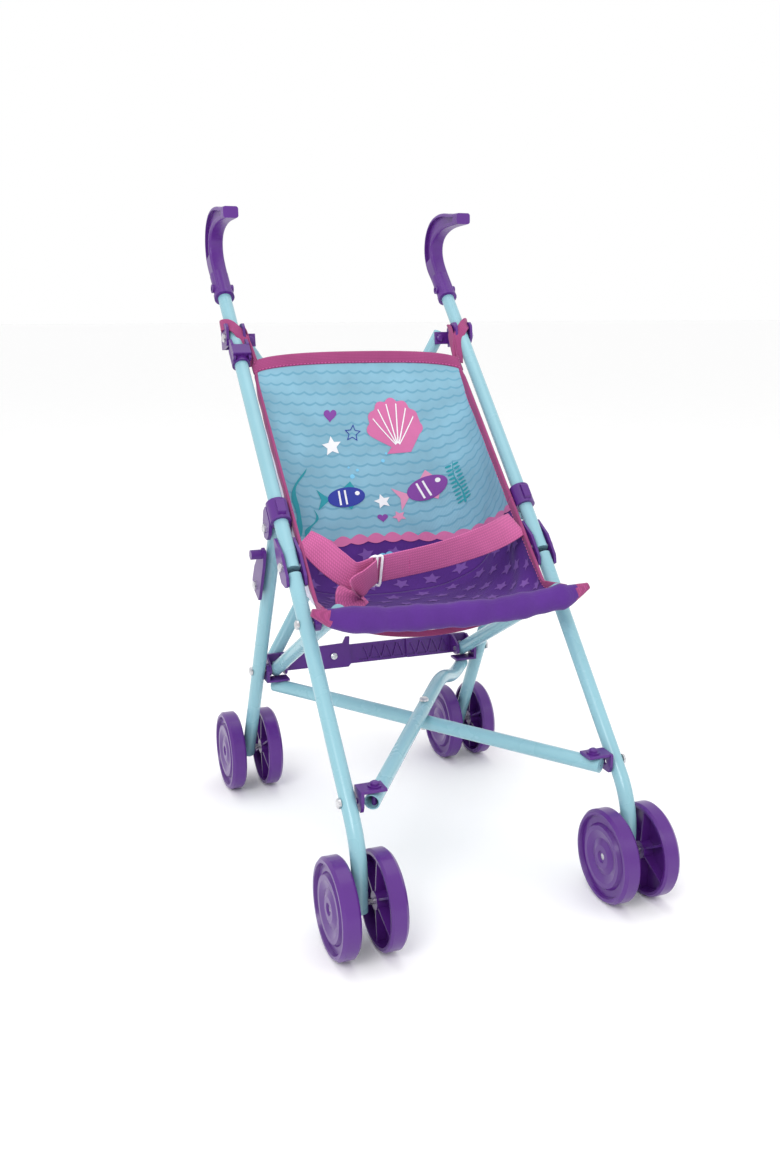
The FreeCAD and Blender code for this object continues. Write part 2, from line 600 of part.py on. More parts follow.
def wheel(node, point, x, outward):
    """Moulded wheel: ring, groove and dished hub outside, ribbed hollow towards the leg."""
    body = doc.addObject("PartDesign::Body", node)
    drawing = body.newObject("Sketcher::SketchObject", node + "_section")
    drawing.AttachmentSupport = [([f for f in body.Origin.OriginFeatures
                                   if f.Role == "XZ_Plane"][0], "")]
    drawing.MapMode = "FlatFace"
    rim, half = size("wheel_od") / 2, size("wheel_width") / 2
    bore = size("axle_hole") / 2
    section = [(bore, -half), (7, -half), (7.6, 1.8), (33.6, 1.8), (34.4, -half), (rim - 1.6, -half),
               (rim, -half + 1.8), (rim, half - 2.4), (rim - 2.2, half), (33.6, half), (32.4, 4.0),
               (27.2, 4.0), (25.2, half - 0.4), (21.5, half - 0.4), (15, 4.6), (9.5, half - 0.6),
               (5.2, half - 0.6), (4.2, 5.2), (bore, 5.2)]
    for i, point_a in enumerate(section):
        point_b = section[(i + 1) % len(section)]
        drawing.addGeometry(Part.LineSegment(Vector(*point_a, 0), Vector(*point_b, 0)), False)
    turn = body.newObject("PartDesign::Revolution", node + "_turned")
    turn.Profile, turn.ReferenceAxis, turn.Angle = drawing, (drawing, ["V_Axis"]), 360
    doc.recompute()
    rib_drawing = body.newObject("Sketcher::SketchObject", node + "_rib_outline")
    rib_drawing.AttachmentSupport = [([f for f in body.Origin.OriginFeatures
                                       if f.Role == "XZ_Plane"][0], "")]
    rib_drawing.MapMode = "FlatFace"
    rib = [(6.9, -half + 1), (34.2, -half + 2.2), (34.2, 2.2), (6.9, 2.2)]
    for i, point_a in enumerate(rib):
        rib_drawing.addGeometry(Part.LineSegment(Vector(*point_a, 0),
                                                 Vector(*rib[(i + 1) % len(rib)], 0)), False)
    pad = body.newObject("PartDesign::Pad", node + "_rib")
    pad.Profile, pad.Length, pad.Midplane = rib_drawing, 1.8, True
    doc.recompute()
    ribs = body.newObject("PartDesign::PolarPattern", node + "_ribs")
    ribs.Originals, ribs.Axis = [pad], (drawing, ["V_Axis"])
    ribs.Angle, ribs.Occurrences = 360, 6
    body.Tip = ribs
    body.Placement = Placement(at_x(point, x), Rotation(Vector(0, 0, 1), X_AXIS * outward))
    keep(node, body)


def side_screws(tag, side):
    """Screws of each side's three links, grouped by the link that carries them."""
    out, x = X_AXIS * side, side * SIDE_X
    wall = CHEEK_OUT
    through = 2 * wall + 1.5
    collar_wall = CHEEK_OUT + 0.6
    pieces = [screw("foot_screw_" + tag, at_x(FOOT, x) + out * wall, out, through),
              screw("collar_screw_" + tag, at_x(COLLAR, x) + out * collar_wall, out,
                    2 * collar_wall + 1.5),
              screw("yoke_screw_" + tag, at_x(YOKE, x) + out * (wall + 0.1), out, through)]
    keep("handle_screws_" + tag, join("handle_screws_" + tag, pieces))
    pieces = [screw("rail_screw_" + tag, at_x(RAIL_FRONT, x) + out * TUBE_R, out, 2 * TUBE_R + 5),
              screw("bracket_screw_" + tag, at_x(BRACKET, x) + out * TUBE_R, out, 2 * TUBE_R)]
    keep("front_screws_" + tag, join("front_screws_" + tag, pieces))
    spacer = rod("rail_spacer_%s_ring" % tag, "6.2", LEG_IN - RAIL_OUT + 0.1,
                 at_x(RAIL_FRONT, min(side * LEG_IN, side * (RAIL_OUT - 0.1))), X_AXIS)
    cove = doc.addObject("Part::Cylinder", "rail_spacer_%s_cove" % tag)
    cove.setExpression("Radius", "sizes.tube_od / 2 + 0.02")
    cove.Height = 40
    cove.Placement = Placement(at_x(RAIL_FRONT, x) - FRONT_DIR * 20,
                               Rotation(Vector(0, 0, 1), FRONT_DIR))
    bore = hole("rail_spacer_%s_bore" % tag, at_x(RAIL_FRONT, x), X_AXIS, 40)
    keep("rail_spacer_" + tag, cut_all("rail_spacer_" + tag, spacer, [cove, bore]))
    pieces = [screw("rear_screw_%s_through" % tag, at_x(REAR, x) + out * TUBE_R, out,
                    SIDE_X + TUBE_R - (RAIL_IN - 2.2) + 1.5)]
    if tag == "r":
        pieces.append(latch_screw())
    keep("rear_screws_" + tag, join("rear_screws_" + tag, pieces))


def cross_pins():
    """Flush steel pins of the rear yokes, each through its boss and the end of a back tube."""
    for tag, side in SIDES.items():
        back = side_frame(side, REAR, BACK_DIR, 0)
        start = local(back, 8.5, PIN_RISE, side * CROSS_X)
        length = FRONT_FACE + 2 * TUBE_R - 8.5 + (2 * SPREAD if side > 0 else 0)
        keep("rear_pin_" + tag, rod("rear_pin_" + tag, "sizes.pin_d / 2", length, start, BACK_NORMAL))


LATCH_SEAT = COLLAR - REAR_DIR * 63
LATCH_IN, LATCH_OUT = SIDE_X + CHEEK_OUT + 0.5, SIDE_X + CHEEK_OUT + 3.1


def latch_screw():
    """The lever's pivot screw, in the right rear leg."""
    place = side_frame(SIDES["r"], LATCH_SEAT, REAR_DIR, 0)
    return screw("latch_screw", local(place, 0.5, 0, -LATCH_OUT), X_AXIS * -1,
                 LATCH_OUT - SIDE_X - TUBE_R + 3)


# ---- latch lever and fold clip on the right side -----------------------------------------------

def latch_lever():
    """Side lever low on the right rear leg, with a thumb knob standing outward."""
    side = SIDES["r"]
    seat, inner, outer = LATCH_SEAT, LATCH_IN, LATCH_OUT
    place = side_frame(side, seat, REAR_DIR, 0)
    shape = [(-13, -7), (8, -8), (12, -2), (11, 14), (4, 32), (-3, 45), (-11, 46), (-13, 32)]
    blade = side_plate("latch_blade", place, side, (inner, outer), shape, 2.0)
    knob = rod("latch_knob", "4.2", 21.5 - CHEEK_OUT, local(place, -6, 40, side * inner), X_AXIS * side)
    boss = rod("latch_boss", "4.0", inner - SIDE_X - TUBE_R + 1.0 - 0.05,
               local(place, 0.5, 0, side * (SIDE_X + TUBE_R + 0.05)), X_AXIS * side)
    cove = rod("latch_cove", "sizes.tube_od / 2 + 0.3", 120,
               at_x(seat, side * SIDE_X) - REAR_DIR * 60, REAR_DIR)
    bore = hole("latch_bore", local(place, 0.5, 0, side * inner), X_AXIS, 30)
    keep("latch_lever", cut_all("latch_lever", join("latch_raw", [blade, knob, boss]), [cove, bore]))


def fold_clip():
    """Snap clip on the right handle tube that holds the folded frame shut, with two horns."""
    side = SIDES["r"]
    place = side_frame(side, FOOT, HANDLE_DIR)
    low, high = 218.0, 236.0
    sleeve = rod("fold_clip_sleeve", "sizes.tube_od / 2 + 2.2", high - low, local(place, 0, low),
                 HANDLE_DIR)
    horn = [(-9, low + 1), (-4, low + 1), (-4, high), (-8.5, high + 7), (-11.5, high - 2)]
    horns = [plate("fold_clip_horn_%d" % i, place, horn, x_low, x_low + 2.4, 1.0)
             for i, x_low in enumerate((-8.4, 6.0))]
    face = plate("fold_clip_face", place, [(-12, low + 4), (-7, low + 4), (-7, high - 2), (-11, high - 2)],
                 -8.4, 8.4, 0.8)
    bore = rod("fold_clip_bore", "sizes.tube_od / 2 + 0.05", 60, local(place, 0, low - 20), HANDLE_DIR)
    keep("fold_clip", cut("fold_clip", join("fold_clip_raw", [sleeve, face] + horns), bore))


# ---- cloth -------------------------------------------------------------------------------------

def seat_sling():
    """Sling seat with a gusset on each side, in two cloths that meet in the seat's corner."""
    thick = size("cloth_t")
    top, crease, front = Vector(0, 128.0, 422.0), Vector(0, 66.0, 196.0), Vector(0, -96.0, 226.0)
    half_top, half_low = 98.0, 84.0
    back_in = top + unit(crease, front) * (thick * 1.0)
    outside = [(half_top, top), (half_low, crease), (half_low + 3, front)]
    inner_crease = crease + (unit(crease, front) + unit(crease, top)) * (thick * 1.15)
    inside = [(half_top - thick, back_in + Vector(0, -thick, 6)),
              (half_low - thick, inner_crease),
              (half_low + 3 - thick, front + Vector(0, -8, thick + 1.5))]

    def prism(corners):
        left = [Vector(-x, p.y, p.z) for x, p in corners]
        right = [Vector(x, p.y, p.z) for x, p in corners]
        faces = [Part.Face(Part.makePolygon(left + left[:1])),
                 Part.Face(Part.makePolygon(right + right[:1]))]
        for i in range(3):
            j = (i + 1) % 3
            for ring in ([left[i], left[j], right[j]], [left[i], right[j], right[i]]):
                faces.append(Part.Face(Part.makePolygon(ring + ring[:1])))
        return Part.Solid(Part.Shell(faces))

    sling = prism(outside).cut(prism(inside))
    edge = top + (front - top) * 0.584
    seam = unit(crease, edge)
    forward = Vector(0, -seam.z, seam.y)
    for node, way in (("back_cloth", -1), ("seat_cloth", 1)):
        near, far = forward * (0.2 * way), forward * (400.0 * way)
        a, b = crease - seam * 60 + near, edge + seam * 60 + near
        corners = [at_x(p, -200) for p in (a, b, b + far, a + far)]
        region = Part.Face(Part.makePolygon(corners + corners[:1])).extrude(X_AXIS * 400)
        part = doc.addObject("Part::Feature", node)
        part.Shape = sling.common(region)
        keep(node, part)


def waist_belt():
    """Two webbing runs from the sling's sides to a double ring in the middle."""
    width, thick = size("belt_width"), size("belt_t")
    anchor, centre = Vector(80.0, 20.0, 262.0), Vector(5.0, -32.0, 252.0)
    runs = []
    for tag, side in SIDES.items():
        start = Vector(side * anchor.x, anchor.y, anchor.z)
        end = Vector(side * centre.x, centre.y, centre.z)
        run = doc.addObject("Part::Box", "belt_run_" + tag)
        run.Length = (end - start).Length
        run.setExpression("Width", "sizes.belt_t")
        run.setExpression("Height", "sizes.belt_width")
        along = unit(start, end)
        across = along.cross(Vector(0, 0, 1)).normalize()
        run.Placement = Placement(start - across * (thick / 2) - Vector(0, 0, width / 2),
                                  Rotation(along, across * -1, Vector(0, 0, 1), "XYZ"))
        runs.append(run)
    keep("waist_belt", join("waist_belt", runs))
    ring = doc.addObject("Part::Torus", "belt_ring")
    ring.Radius1, ring.Radius2 = 12.0, 1.5
    ring.Placement = Placement(centre + Vector(-5.0, -4.5, 0), Rotation(X_AXIS, 90))
    keep("belt_ring", ring)


# ---- the whole stroller --------------------------------------------------------------------------

for side_tag, side_sign in SIDES.items():
    rear_leg(side_tag, side_sign)
    front_leg(side_tag, side_sign)
    handle_tube(side_tag, side_sign)
    front_channel(side_tag, side_sign)
    collar(side_tag, side_sign)
    grip(side_tag, side_sign)
    seat_rail(side_tag, side_sign)
    rear_yoke(side_tag, side_sign)
    seat_bracket(side_tag, side_sign)
    front_bracket(side_tag, side_sign)
    top_yoke(side_tag, side_sign)
    side_screws(side_tag, side_sign)
    for place_name, axle_point in (("front", FRONT_AXLE), ("rear", REAR_AXLE)):
        axle("%s_axle_%s" % (place_name, side_tag), axle_point, side_sign)
        for position, step in (("outer", side_sign), ("inner", -side_sign)):
            wheel("%s_wheel_%s_%s" % (place_name, side_tag, position), axle_point,
                  side_sign * SIDE_X + step * size("wheel_offset"), step)
cross_pins()
back_tubes()
seat_tubes()
lock_strut()
latch_lever()
fold_clip()
seat_sling()
waist_belt()
doc.recompute()

for item in doc.Objects:
    if "Invalid" in item.State or "Error" in item.State:
        raise RuntimeError("%s failed: %s" % (item.Name, item.State))
for node, part in parts.items():
    if part.Shape.isNull() or not part.Shape.isValid():
        raise RuntimeError(node + " has no valid shape")

os.makedirs("parts", exist_ok=True)
for node, part in parts.items():
    part.Shape.exportStep("parts/" + node + ".step")
    print("%-26s %10.1f mm3  %d solid(s)" % (node, part.Shape.Volume, len(part.Shape.Solids)))
print(len(parts), "nodes")
whole = Part.makeCompound([p.Shape for p in parts.values()]).BoundBox
print("box", whole)
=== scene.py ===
import json
import math

import bmesh
import bpy
import numpy as np
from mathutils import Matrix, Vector


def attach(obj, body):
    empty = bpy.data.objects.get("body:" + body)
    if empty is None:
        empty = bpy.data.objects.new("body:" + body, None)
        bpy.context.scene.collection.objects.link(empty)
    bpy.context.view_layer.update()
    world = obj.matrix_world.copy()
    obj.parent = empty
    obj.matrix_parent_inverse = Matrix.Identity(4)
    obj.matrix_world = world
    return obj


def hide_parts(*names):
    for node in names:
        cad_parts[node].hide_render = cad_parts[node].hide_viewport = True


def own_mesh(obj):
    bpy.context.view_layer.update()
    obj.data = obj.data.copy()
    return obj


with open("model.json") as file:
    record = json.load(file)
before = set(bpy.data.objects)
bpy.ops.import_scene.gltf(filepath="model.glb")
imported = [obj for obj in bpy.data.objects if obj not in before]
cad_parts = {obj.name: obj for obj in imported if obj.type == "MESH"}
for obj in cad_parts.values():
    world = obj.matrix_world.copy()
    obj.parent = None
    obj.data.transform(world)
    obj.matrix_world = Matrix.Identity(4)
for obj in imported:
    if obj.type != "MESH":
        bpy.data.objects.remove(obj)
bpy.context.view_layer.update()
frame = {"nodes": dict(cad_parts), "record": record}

# Doll stroller: painted tubes, purple mouldings and a printed sling seat.  Metres, +Z up, front -Y.

SKY, SKY_LINE = (0.225, 0.435, 0.55), (0.12, 0.33, 0.46)
PURPLE, STAR = (0.080, 0.018, 0.205), (0.175, 0.075, 0.33)
PINK, DEEP_PINK = (0.46, 0.075, 0.25), (0.24, 0.025, 0.115)
TUBE = (0.235, 0.45, 0.52)
MOULDED = (0.080, 0.014, 0.185)
LILAC = (0.70, 0.68, 0.80)
WHITE = (0.86, 0.86, 0.88)
TEAL = (0.03, 0.30, 0.36)
BLUE = (0.035, 0.05, 0.33)
LIGHT_BLUE = (0.20, 0.55, 0.78)
VIOLET = (0.22, 0.06, 0.33)
PINK_INK, ROSE = (0.62, 0.16, 0.36), (0.70, 0.28, 0.45)
WEBBING = (0.58, 0.125, 0.33)
PALE_FLOOR = (0.975, 0.975, 0.975)

# Sizes in metres: cloth, how far each layer of the print stands off it, and the tapes.
CLOTH_THICK = 0.0009
PRINT_LIFT, BODY_LIFT, DETAIL_LIFT = 0.0009, 0.0011, 0.0013
SIDE_TAPE, TOP_TAPE, LOOP_TAPE, LOOP_THICK = 0.0085, 0.0115, 0.0105, 0.0014
SIDE_SEAM_IN, TOP_SEAM_IN = 0.0062, 0.0092
# The left handle: its screw through the top yoke, the tube's direction and the way it faces.
TOP_SCREW = (0.115, 0.1459, 0.4389)
HANDLE_ALONG, HANDLE_FRONT = (0.0, 0.6993, 0.7148), (0.0, -0.7148, 0.6993)


# ---- materials -------------------------------------------------------------------------

def start_material(name):
    """New material with its node tree and its shader."""
    mat = bpy.data.materials.new(name)
    mat.use_nodes = True
    tree = mat.node_tree
    shader = next(n for n in tree.nodes if n.type == "BSDF_PRINCIPLED")
    return mat, tree, shader


def noise(tree, coords, scale, detail=3.0):
    made = tree.nodes.new("ShaderNodeTexNoise")
    made.inputs["Scale"].default_value = scale
    made.inputs["Detail"].default_value = detail
    tree.links.new(coords, made.inputs["Vector"])
    return made.outputs["Fac"]


def ramp(tree, value, low, high, at=(0.3, 0.7)):
    made = tree.nodes.new("ShaderNodeValToRGB")
    for stop, place, tint in zip(made.color_ramp.elements, at, (low, high)):
        stop.position, stop.color = place, (*tint, 1)
    tree.links.new(value, made.inputs["Fac"])
    return made.outputs["Color"]


def bump(tree, shader, height, strength, distance, below=None):
    made = tree.nodes.new("ShaderNodeBump")
    made.inputs["Strength"].default_value = strength
    made.inputs["Distance"].default_value = distance
    tree.links.new(height, made.inputs["Height"])
    if below is not None:
        tree.links.new(below.outputs["Normal"], made.inputs["Normal"])
    tree.links.new(made.outputs["Normal"], shader.inputs["Normal"])
    return made


def maths(tree, operation, a, b=None):
    made = tree.nodes.new("ShaderNodeMath")
    made.operation = operation
    for slot_number, value in enumerate((a, b)):
        if value is None:
            continue
        if isinstance(value, (int, float)):
            made.inputs[slot_number].default_value = value
        else:
            tree.links.new(value, made.inputs[slot_number])
    return made.outputs["Value"]


def shade(tint, factor):
    """The tint made lighter or darker."""
    return tuple(min(1.0, c * factor) for c in tint)


def moulded(name, tint, rough=0.3, coat=0.25, spread=0.12, grain=900.0, grain_depth=0.00004):
    """Painted or moulded surface: slight colour drift, a soft orange peel and scuffed gloss."""
    mat, tree, shader = start_material(name)
    coords = tree.nodes.new("ShaderNodeTexCoord").outputs["Object"]
    drift = noise(tree, coords, 14.0)
    tree.links.new(ramp(tree, drift, shade(tint, 1 - spread), shade(tint, 1 + spread)),
                   shader.inputs["Base Color"])
    scuff = noise(tree, coords, 35.0, 3.0)
    tree.links.new(ramp(tree, scuff, (rough * 0.92,) * 3, (rough * 1.12,) * 3),
                   shader.inputs["Roughness"])
    shader.inputs["Specular IOR Level"].default_value = 0.4
    shader.inputs["Coat Weight"].default_value = coat
    shader.inputs["Coat Roughness"].default_value = 0.12
    bump(tree, shader, noise(tree, coords, grain, 2.0), 0.35, grain_depth)
    return mat


def metal(name):
    """Plated steel with fine brushed noise."""
    mat, tree, shader = start_material(name)
    coords = tree.nodes.new("ShaderNodeTexCoord").outputs["Object"]
    shader.inputs["Metallic"].default_value = 1.0
    tree.links.new(ramp(tree, noise(tree, coords, 180.0), (0.50, 0.50, 0.52), (0.72, 0.72, 0.74)),
                   shader.inputs["Base Color"])
    tree.links.new(ramp(tree, noise(tree, coords, 500.0), (0.22,) * 3, (0.4,) * 3),
                   shader.inputs["Roughness"])
    bump(tree, shader, noise(tree, coords, 1400.0), 0.3, 0.00003)
    return mat


def cloth(name, tint, waves=False, weave=1300.0, rough=0.85, spread=0.10, twill_and_groove_shade=False, sheen=0.12):
    """Woven cloth in its own coordinates: threads, mottling and soft creases; waves prints lines; the twill
    setting also paints shade into the thread grooves of the colour.
    """
    mat, tree, shader = start_material(name)
    coords = tree.nodes.new("ShaderNodeTexCoord")
    uv = coords.outputs["UV"]
    split = tree.nodes.new("ShaderNodeSeparateXYZ")
    tree.links.new(uv, split.inputs["Vector"])
    u, v = split.outputs["X"], split.outputs["Y"]
    tone = ramp(tree, noise(tree, coords.outputs["Object"], 35.0, 5.0),
                shade(tint, 1 - spread), shade(tint, 1 + spread))
    if waves:
        hump = maths(tree, "ABSOLUTE", maths(tree, "SINE", maths(tree, "MULTIPLY", u, 240.0)))
        wander = maths(tree, "MULTIPLY", noise(tree, uv, 22.0, 2.0), 0.005)
        level = maths(tree, "ADD", v, maths(tree, "ADD", maths(tree, "MULTIPLY", hump, 0.0022), wander))
        line = maths(tree, "FRACT", maths(tree, "MULTIPLY", level, 98.0))
        edge = maths(tree, "ABSOLUTE", maths(tree, "SUBTRACT", line, 0.5))
        mix = tree.nodes.new("ShaderNodeMix")
        mix.data_type = "RGBA"
        drawn = ramp(tree, edge, (0.75,) * 3, (0.0,) * 3, (0.07, 0.13))
        tree.links.new(drawn, mix.inputs["Factor"])
        tree.links.new(tone, mix.inputs["A"])
        mix.inputs["B"].default_value = (*SKY_LINE, 1)
        tone = mix.outputs["Result"]
    across = maths(tree, "SINE", maths(tree, "MULTIPLY", u, weave * math.tau))
    along = maths(tree, "SINE", maths(tree, "MULTIPLY", v, weave * math.tau))
    if twill_and_groove_shade:
        along = maths(tree, "SINE", maths(tree, "MULTIPLY", maths(tree, "ADD", v, u), weave * math.tau))
    threads = maths(tree, "ADD", maths(tree, "MULTIPLY", across, 0.5), maths(tree, "MULTIPLY", along, 0.5))
    # Painted shade: the base colour is darkened in the thread grooves, following the same thread pattern as
    # the bump.
    if twill_and_groove_shade:
        printed_ribs_and_rib_shade = tree.nodes.new("ShaderNodeMix")
        printed_ribs_and_rib_shade.data_type, printed_ribs_and_rib_shade.blend_type = "RGBA", "MULTIPLY"
        printed_ribs_and_rib_shade.inputs["Factor"].default_value = 1.0
        tree.links.new(tone, printed_ribs_and_rib_shade.inputs["A"])
        tree.links.new(ramp(tree, threads, (0.74,) * 3, (1.0,) * 3, (0.0, 0.5)), printed_ribs_and_rib_shade.inputs["B"])
        tone = printed_ribs_and_rib_shade.outputs["Result"]
    tree.links.new(tone, shader.inputs["Base Color"])
    shader.inputs["Roughness"].default_value = rough
    shader.inputs["Sheen Weight"].default_value = sheen
    shader.inputs["Sheen Roughness"].default_value = 0.5
    shader.inputs["Specular IOR Level"].default_value = 0.3
    soft = bump(tree, shader, noise(tree, coords.outputs["Object"], 75.0, 4.0), 0.35, 0.0012)
    bump(tree, shader, threads, 0.5, 0.00012, soft)
    return mat


tube_paint = moulded("tube_paint", TUBE, rough=0.26, coat=0.3, spread=0.04, grain=420.0, grain_depth=0.00002)
fitting = moulded("fitting_plastic", MOULDED, rough=0.32, coat=0.1)
grip_skin = moulded("grip_plastic", shade(MOULDED, 1.1), rough=0.38, coat=0.05)
wheel_skin = moulded("wheel_plastic", shade(MOULDED, 1.05), rough=0.3, coat=0.12, spread=0.06)
steel = metal("screw_steel")
ring_white = moulded("ring_white", WHITE, rough=0.25, coat=0.3, spread=0.04)
sky_cloth = cloth("sky_print", SKY, waves=True, weave=900.0)
purple_cloth = cloth("purple_cloth", PURPLE, weave=900.0)
reverse_cloth = cloth("reverse_cloth", LILAC, weave=900.0, spread=0.05)
binding_tape = cloth("binding_tape", shade(PINK, 0.8), weave=700.0, twill_and_groove_shade=True, spread=0.08)
lower_tape = cloth("lower_tape", DEEP_PINK, weave=700.0, twill_and_groove_shade=True)
webbing = cloth("webbing", WEBBING, weave=420.0, twill_and_groove_shade=True, spread=0.07)
thread = cloth("thread", shade(PINK, 1.5), weave=2500.0, spread=0.05)
INKS = {name: cloth("ink_" + name, tint, weave=900.0, spread=0.05, sheen=0.1) for name, tint in {
    "star": STAR, "white": WHITE, "teal": TEAL, "blue": BLUE, "light_blue": LIGHT_BLUE,
    "pink": PINK_INK, "violet": VIOLET, "rose": ROSE}.items()}

BY_SLOT = {"painted_tube": tube_paint, "fitting_plastic": fitting, "grip_plastic": grip_skin,
           "wheel_plastic": wheel_skin, "screw_steel": steel}
for part in frame["record"]["subparts"]:
    if part["material_slot"] in BY_SLOT:
        obj = frame["nodes"][part["node"]]
        obj.data.materials.clear()
        obj.data.materials.append(BY_SLOT[part["material_slot"]])


# ---- the sling's surface -----------------------------------------------------------------

TOP_MID, CREASE, FRONT_MID = (0.1275, 0.425), (0.066, 0.198), (-0.099, 0.229)
CLOTH_LENGTH, HALF_CLOTH = 0.404, 0.125
ROWS, COLUMNS = 150, 110


def lerp(a, b, k):
    return a + (b - a) * k


def distances(points):
    """Running length along a line of points."""
    return np.concatenate([[0], np.cumsum(np.linalg.norm(np.diff(points, axis=0), axis=1))])


def between(key, run, values):
    """The row of values at key, between the keys in run."""
    values = np.asarray(values)
    return np.array([np.interp(key, run, values[:, k]) for k in range(values.shape[1])])


def middle_line(count):
    """Side profile of the cloth down the middle: back, rounded corner, seat."""
    a, c, f = (np.array(p) for p in (TOP_MID, CREASE, FRONT_MID))
    high, low = c + (a - c) * 0.17, c + (f - c) * 0.24
    steps = np.linspace(0, 1, 60)[:, None]
    back = lerp(a, high, steps)
    turn = (1 - steps) ** 2 * high + 2 * steps * (1 - steps) * c + steps ** 2 * low
    seat = lerp(low, f, steps)
    back = back + np.array([0.006, 0.0]) * np.sin(np.pi * steps)
    seat = seat - np.array([0.0, 0.006]) * np.sin(np.pi * steps)
    line = np.vstack([back[:-1], turn, seat[1:]])
    run = distances(line)
    return between(np.linspace(0, run[-1], count), run, line).T


def side_edge(s):
    """(x, y, z) of the bound side edge on the +X side."""
    stops = [(0.1035, 0.126, 0.4135), (0.1035, -0.058, 0.2345), (0.109, -0.098, 0.2385)]
    return between(s, [0.0, 0.93, 1.0], stops)


def eased(k):
    """0 at the hem, rising smoothly to 1 inside the cloth."""
    return np.sin(np.pi * np.clip(k, 0, 1) / 2)


def unit(v):
    return v / np.linalg.norm(v)


def make_surface():
    """Points and normals of the sling's seat side, on an even grid along and across the cloth."""
    middle = middle_line(ROWS + 1)
    angles = np.linspace(0, np.pi / 2, 240)
    points = np.zeros((ROWS + 1, COLUMNS + 1, 3))
    for i in range(ROWS + 1):
        s = i / ROWS
        ex, ey, ez = side_edge(s)
        power = lerp(0.78, 0.6, min(1.0, s * 2.2))
        reach, depth = np.sin(angles) ** power, 1 - np.cos(angles) ** power
        half = np.stack([ex * reach, lerp(middle[i, 0], ey, depth), lerp(middle[i, 1], ez, depth)], 1)
        run = distances(half)
        for j in range(COLUMNS + 1):
            t = 2 * j / COLUMNS - 1
            x, y, z = between(abs(t) * run[-1], run, half)
            points[i, j] = (math.copysign(x, t), y, z)
    down = np.gradient(points, axis=0)
    right = np.gradient(points, axis=1)
    normals = np.cross(right, down)
    normals /= np.linalg.norm(normals, axis=2, keepdims=True)
    s = np.linspace(0, 1, ROWS + 1)[:, None]
    t = np.linspace(-1, 1, COLUMNS + 1)[None, :]
    out = np.abs(t)
    pull = (np.sin(9 * t + 14 * s) * 0.5 + np.sin(23 * s - 6 * t + 1.0) * 0.35
            + np.sin(31 * t * (s + 0.2)) * 0.25)
    side_folds = np.sin(60 * s + 7 * out) * np.clip(out - 0.45, 0, 0.4) * 1.6
    low_folds = np.sin(19 * t + 3 * np.sin(9 * s)) * np.clip((s - 0.42) * 3, 0, 1)
    low_folds = low_folds * np.clip(out - 0.2, 0, 0.5)
    calm = eased((1 - out) * 4) * eased(s * 8) * eased((1 - s) * 9)
    points += normals * ((pull * 0.0007 + side_folds * 0.0011 + low_folds * 0.0042) * calm)[:, :, None]
    down, right = np.gradient(points, axis=0), np.gradient(points, axis=1)
    normals = np.cross(right, down)
    normals /= np.linalg.norm(normals, axis=2, keepdims=True)
    if normals[ROWS // 4, COLUMNS // 2, 1] > 0:
        normals = -normals
    return points, normals


SURFACE, NORMALS = make_surface()


def on_cloth(s, t, lift=0.0):
    """Point on the sling's seat side at (s, t), lifted along the normal."""
    row, column = np.clip(s, 0, 1) * ROWS, (np.clip(t, -1, 1) + 1) / 2 * COLUMNS
    i, j = min(int(row), ROWS - 1), min(int(column), COLUMNS - 1)
    a, b = row - i, column - j

    def blend_grid(grid):
        return ((1 - a) * (1 - b) * grid[i, j] + a * (1 - b) * grid[i + 1, j]
                + (1 - a) * b * grid[i, j + 1] + a * b * grid[i + 1, j + 1])

    normal = blend_grid(NORMALS)
    return blend_grid(SURFACE) + unit(normal) * lift


def border_at(t):
    """Where the print turns from sky to purple."""
    return 0.455 + 0.175 * abs(t) ** 2.4


def new_object(name, vertices, faces, materials, face_materials=None, uvs=None, smooth=True):
    mesh = bpy.data.meshes.new(name)
    mesh.from_pydata([tuple(map(float, v)) for v in vertices], [], faces)
    for mat in materials:
        mesh.materials.append(mat)
    layer = mesh.uv_layers.new(name="UVMap")
    if uvs is not None:
        for loop in mesh.loops:
            layer.data[loop.index].uv = uvs[loop.vertex_index]
    for polygon in mesh.polygons:
        polygon.use_smooth = smooth
        if face_materials is not None:
            polygon.material_index = face_materials[polygon.index]
    mesh.validate()
    mesh.update()
    made = bpy.data.objects.new(name, mesh)
    bpy.context.scene.collection.objects.link(made)
    return made


def baked(obj):
    """Applies the object's modifiers to its mesh."""
    bpy.context.view_layer.update()
    mesh = bpy.data.meshes.new_from_object(obj.evaluated_get(bpy.context.evaluated_depsgraph_get()))
    obj.modifiers.clear()
    obj.data = mesh
    return obj


def thicken(obj, thickness, reverse):
    """Gives a sheet its thickness; reverse is how many slots on its rear material is."""
    solid = obj.modifiers.new("thickness", "SOLIDIFY")
    solid.thickness, solid.offset = thickness, 0.0
    solid.material_offset = reverse
    solid.material_offset_rim = 0
    return baked(obj)


def sling_piece(name, first, last):
    """Rows first to last of the sling as its own cloth, printed side up and plain behind."""
    vertices, uvs, faces, kinds = [], [], [], []
    wide = COLUMNS + 1
    for i in range(first, last + 1):
        for j in range(wide):
            vertices.append(SURFACE[i, j])
            uvs.append(((2 * j / COLUMNS - 1) * HALF_CLOTH, -i / ROWS * CLOTH_LENGTH))
    for i in range(last - first):
        for j in range(COLUMNS):
            a = i * wide + j
            faces.append((a, a + wide, a + wide + 1, a + 1))
            s, t = (first + i + 0.5) / ROWS, 2 * (j + 0.5) / COLUMNS - 1
            kinds.append(0 if s < border_at(t) else 1)
    piece = new_object(name, vertices, faces, [sky_cloth, purple_cloth, reverse_cloth, reverse_cloth],
                       kinds, uvs)
    return thicken(piece, CLOTH_THICK, 2)


SPLIT_ROW = int(ROWS * 0.60)
SPLIT = SPLIT_ROW / ROWS
back_sling = sling_piece("back_sling", 0, SPLIT_ROW)
seat_sling = sling_piece("seat_sling", SPLIT_ROW, ROWS)


# ---- the print: generic sea shapes, stars and hearts ----------------------------------------

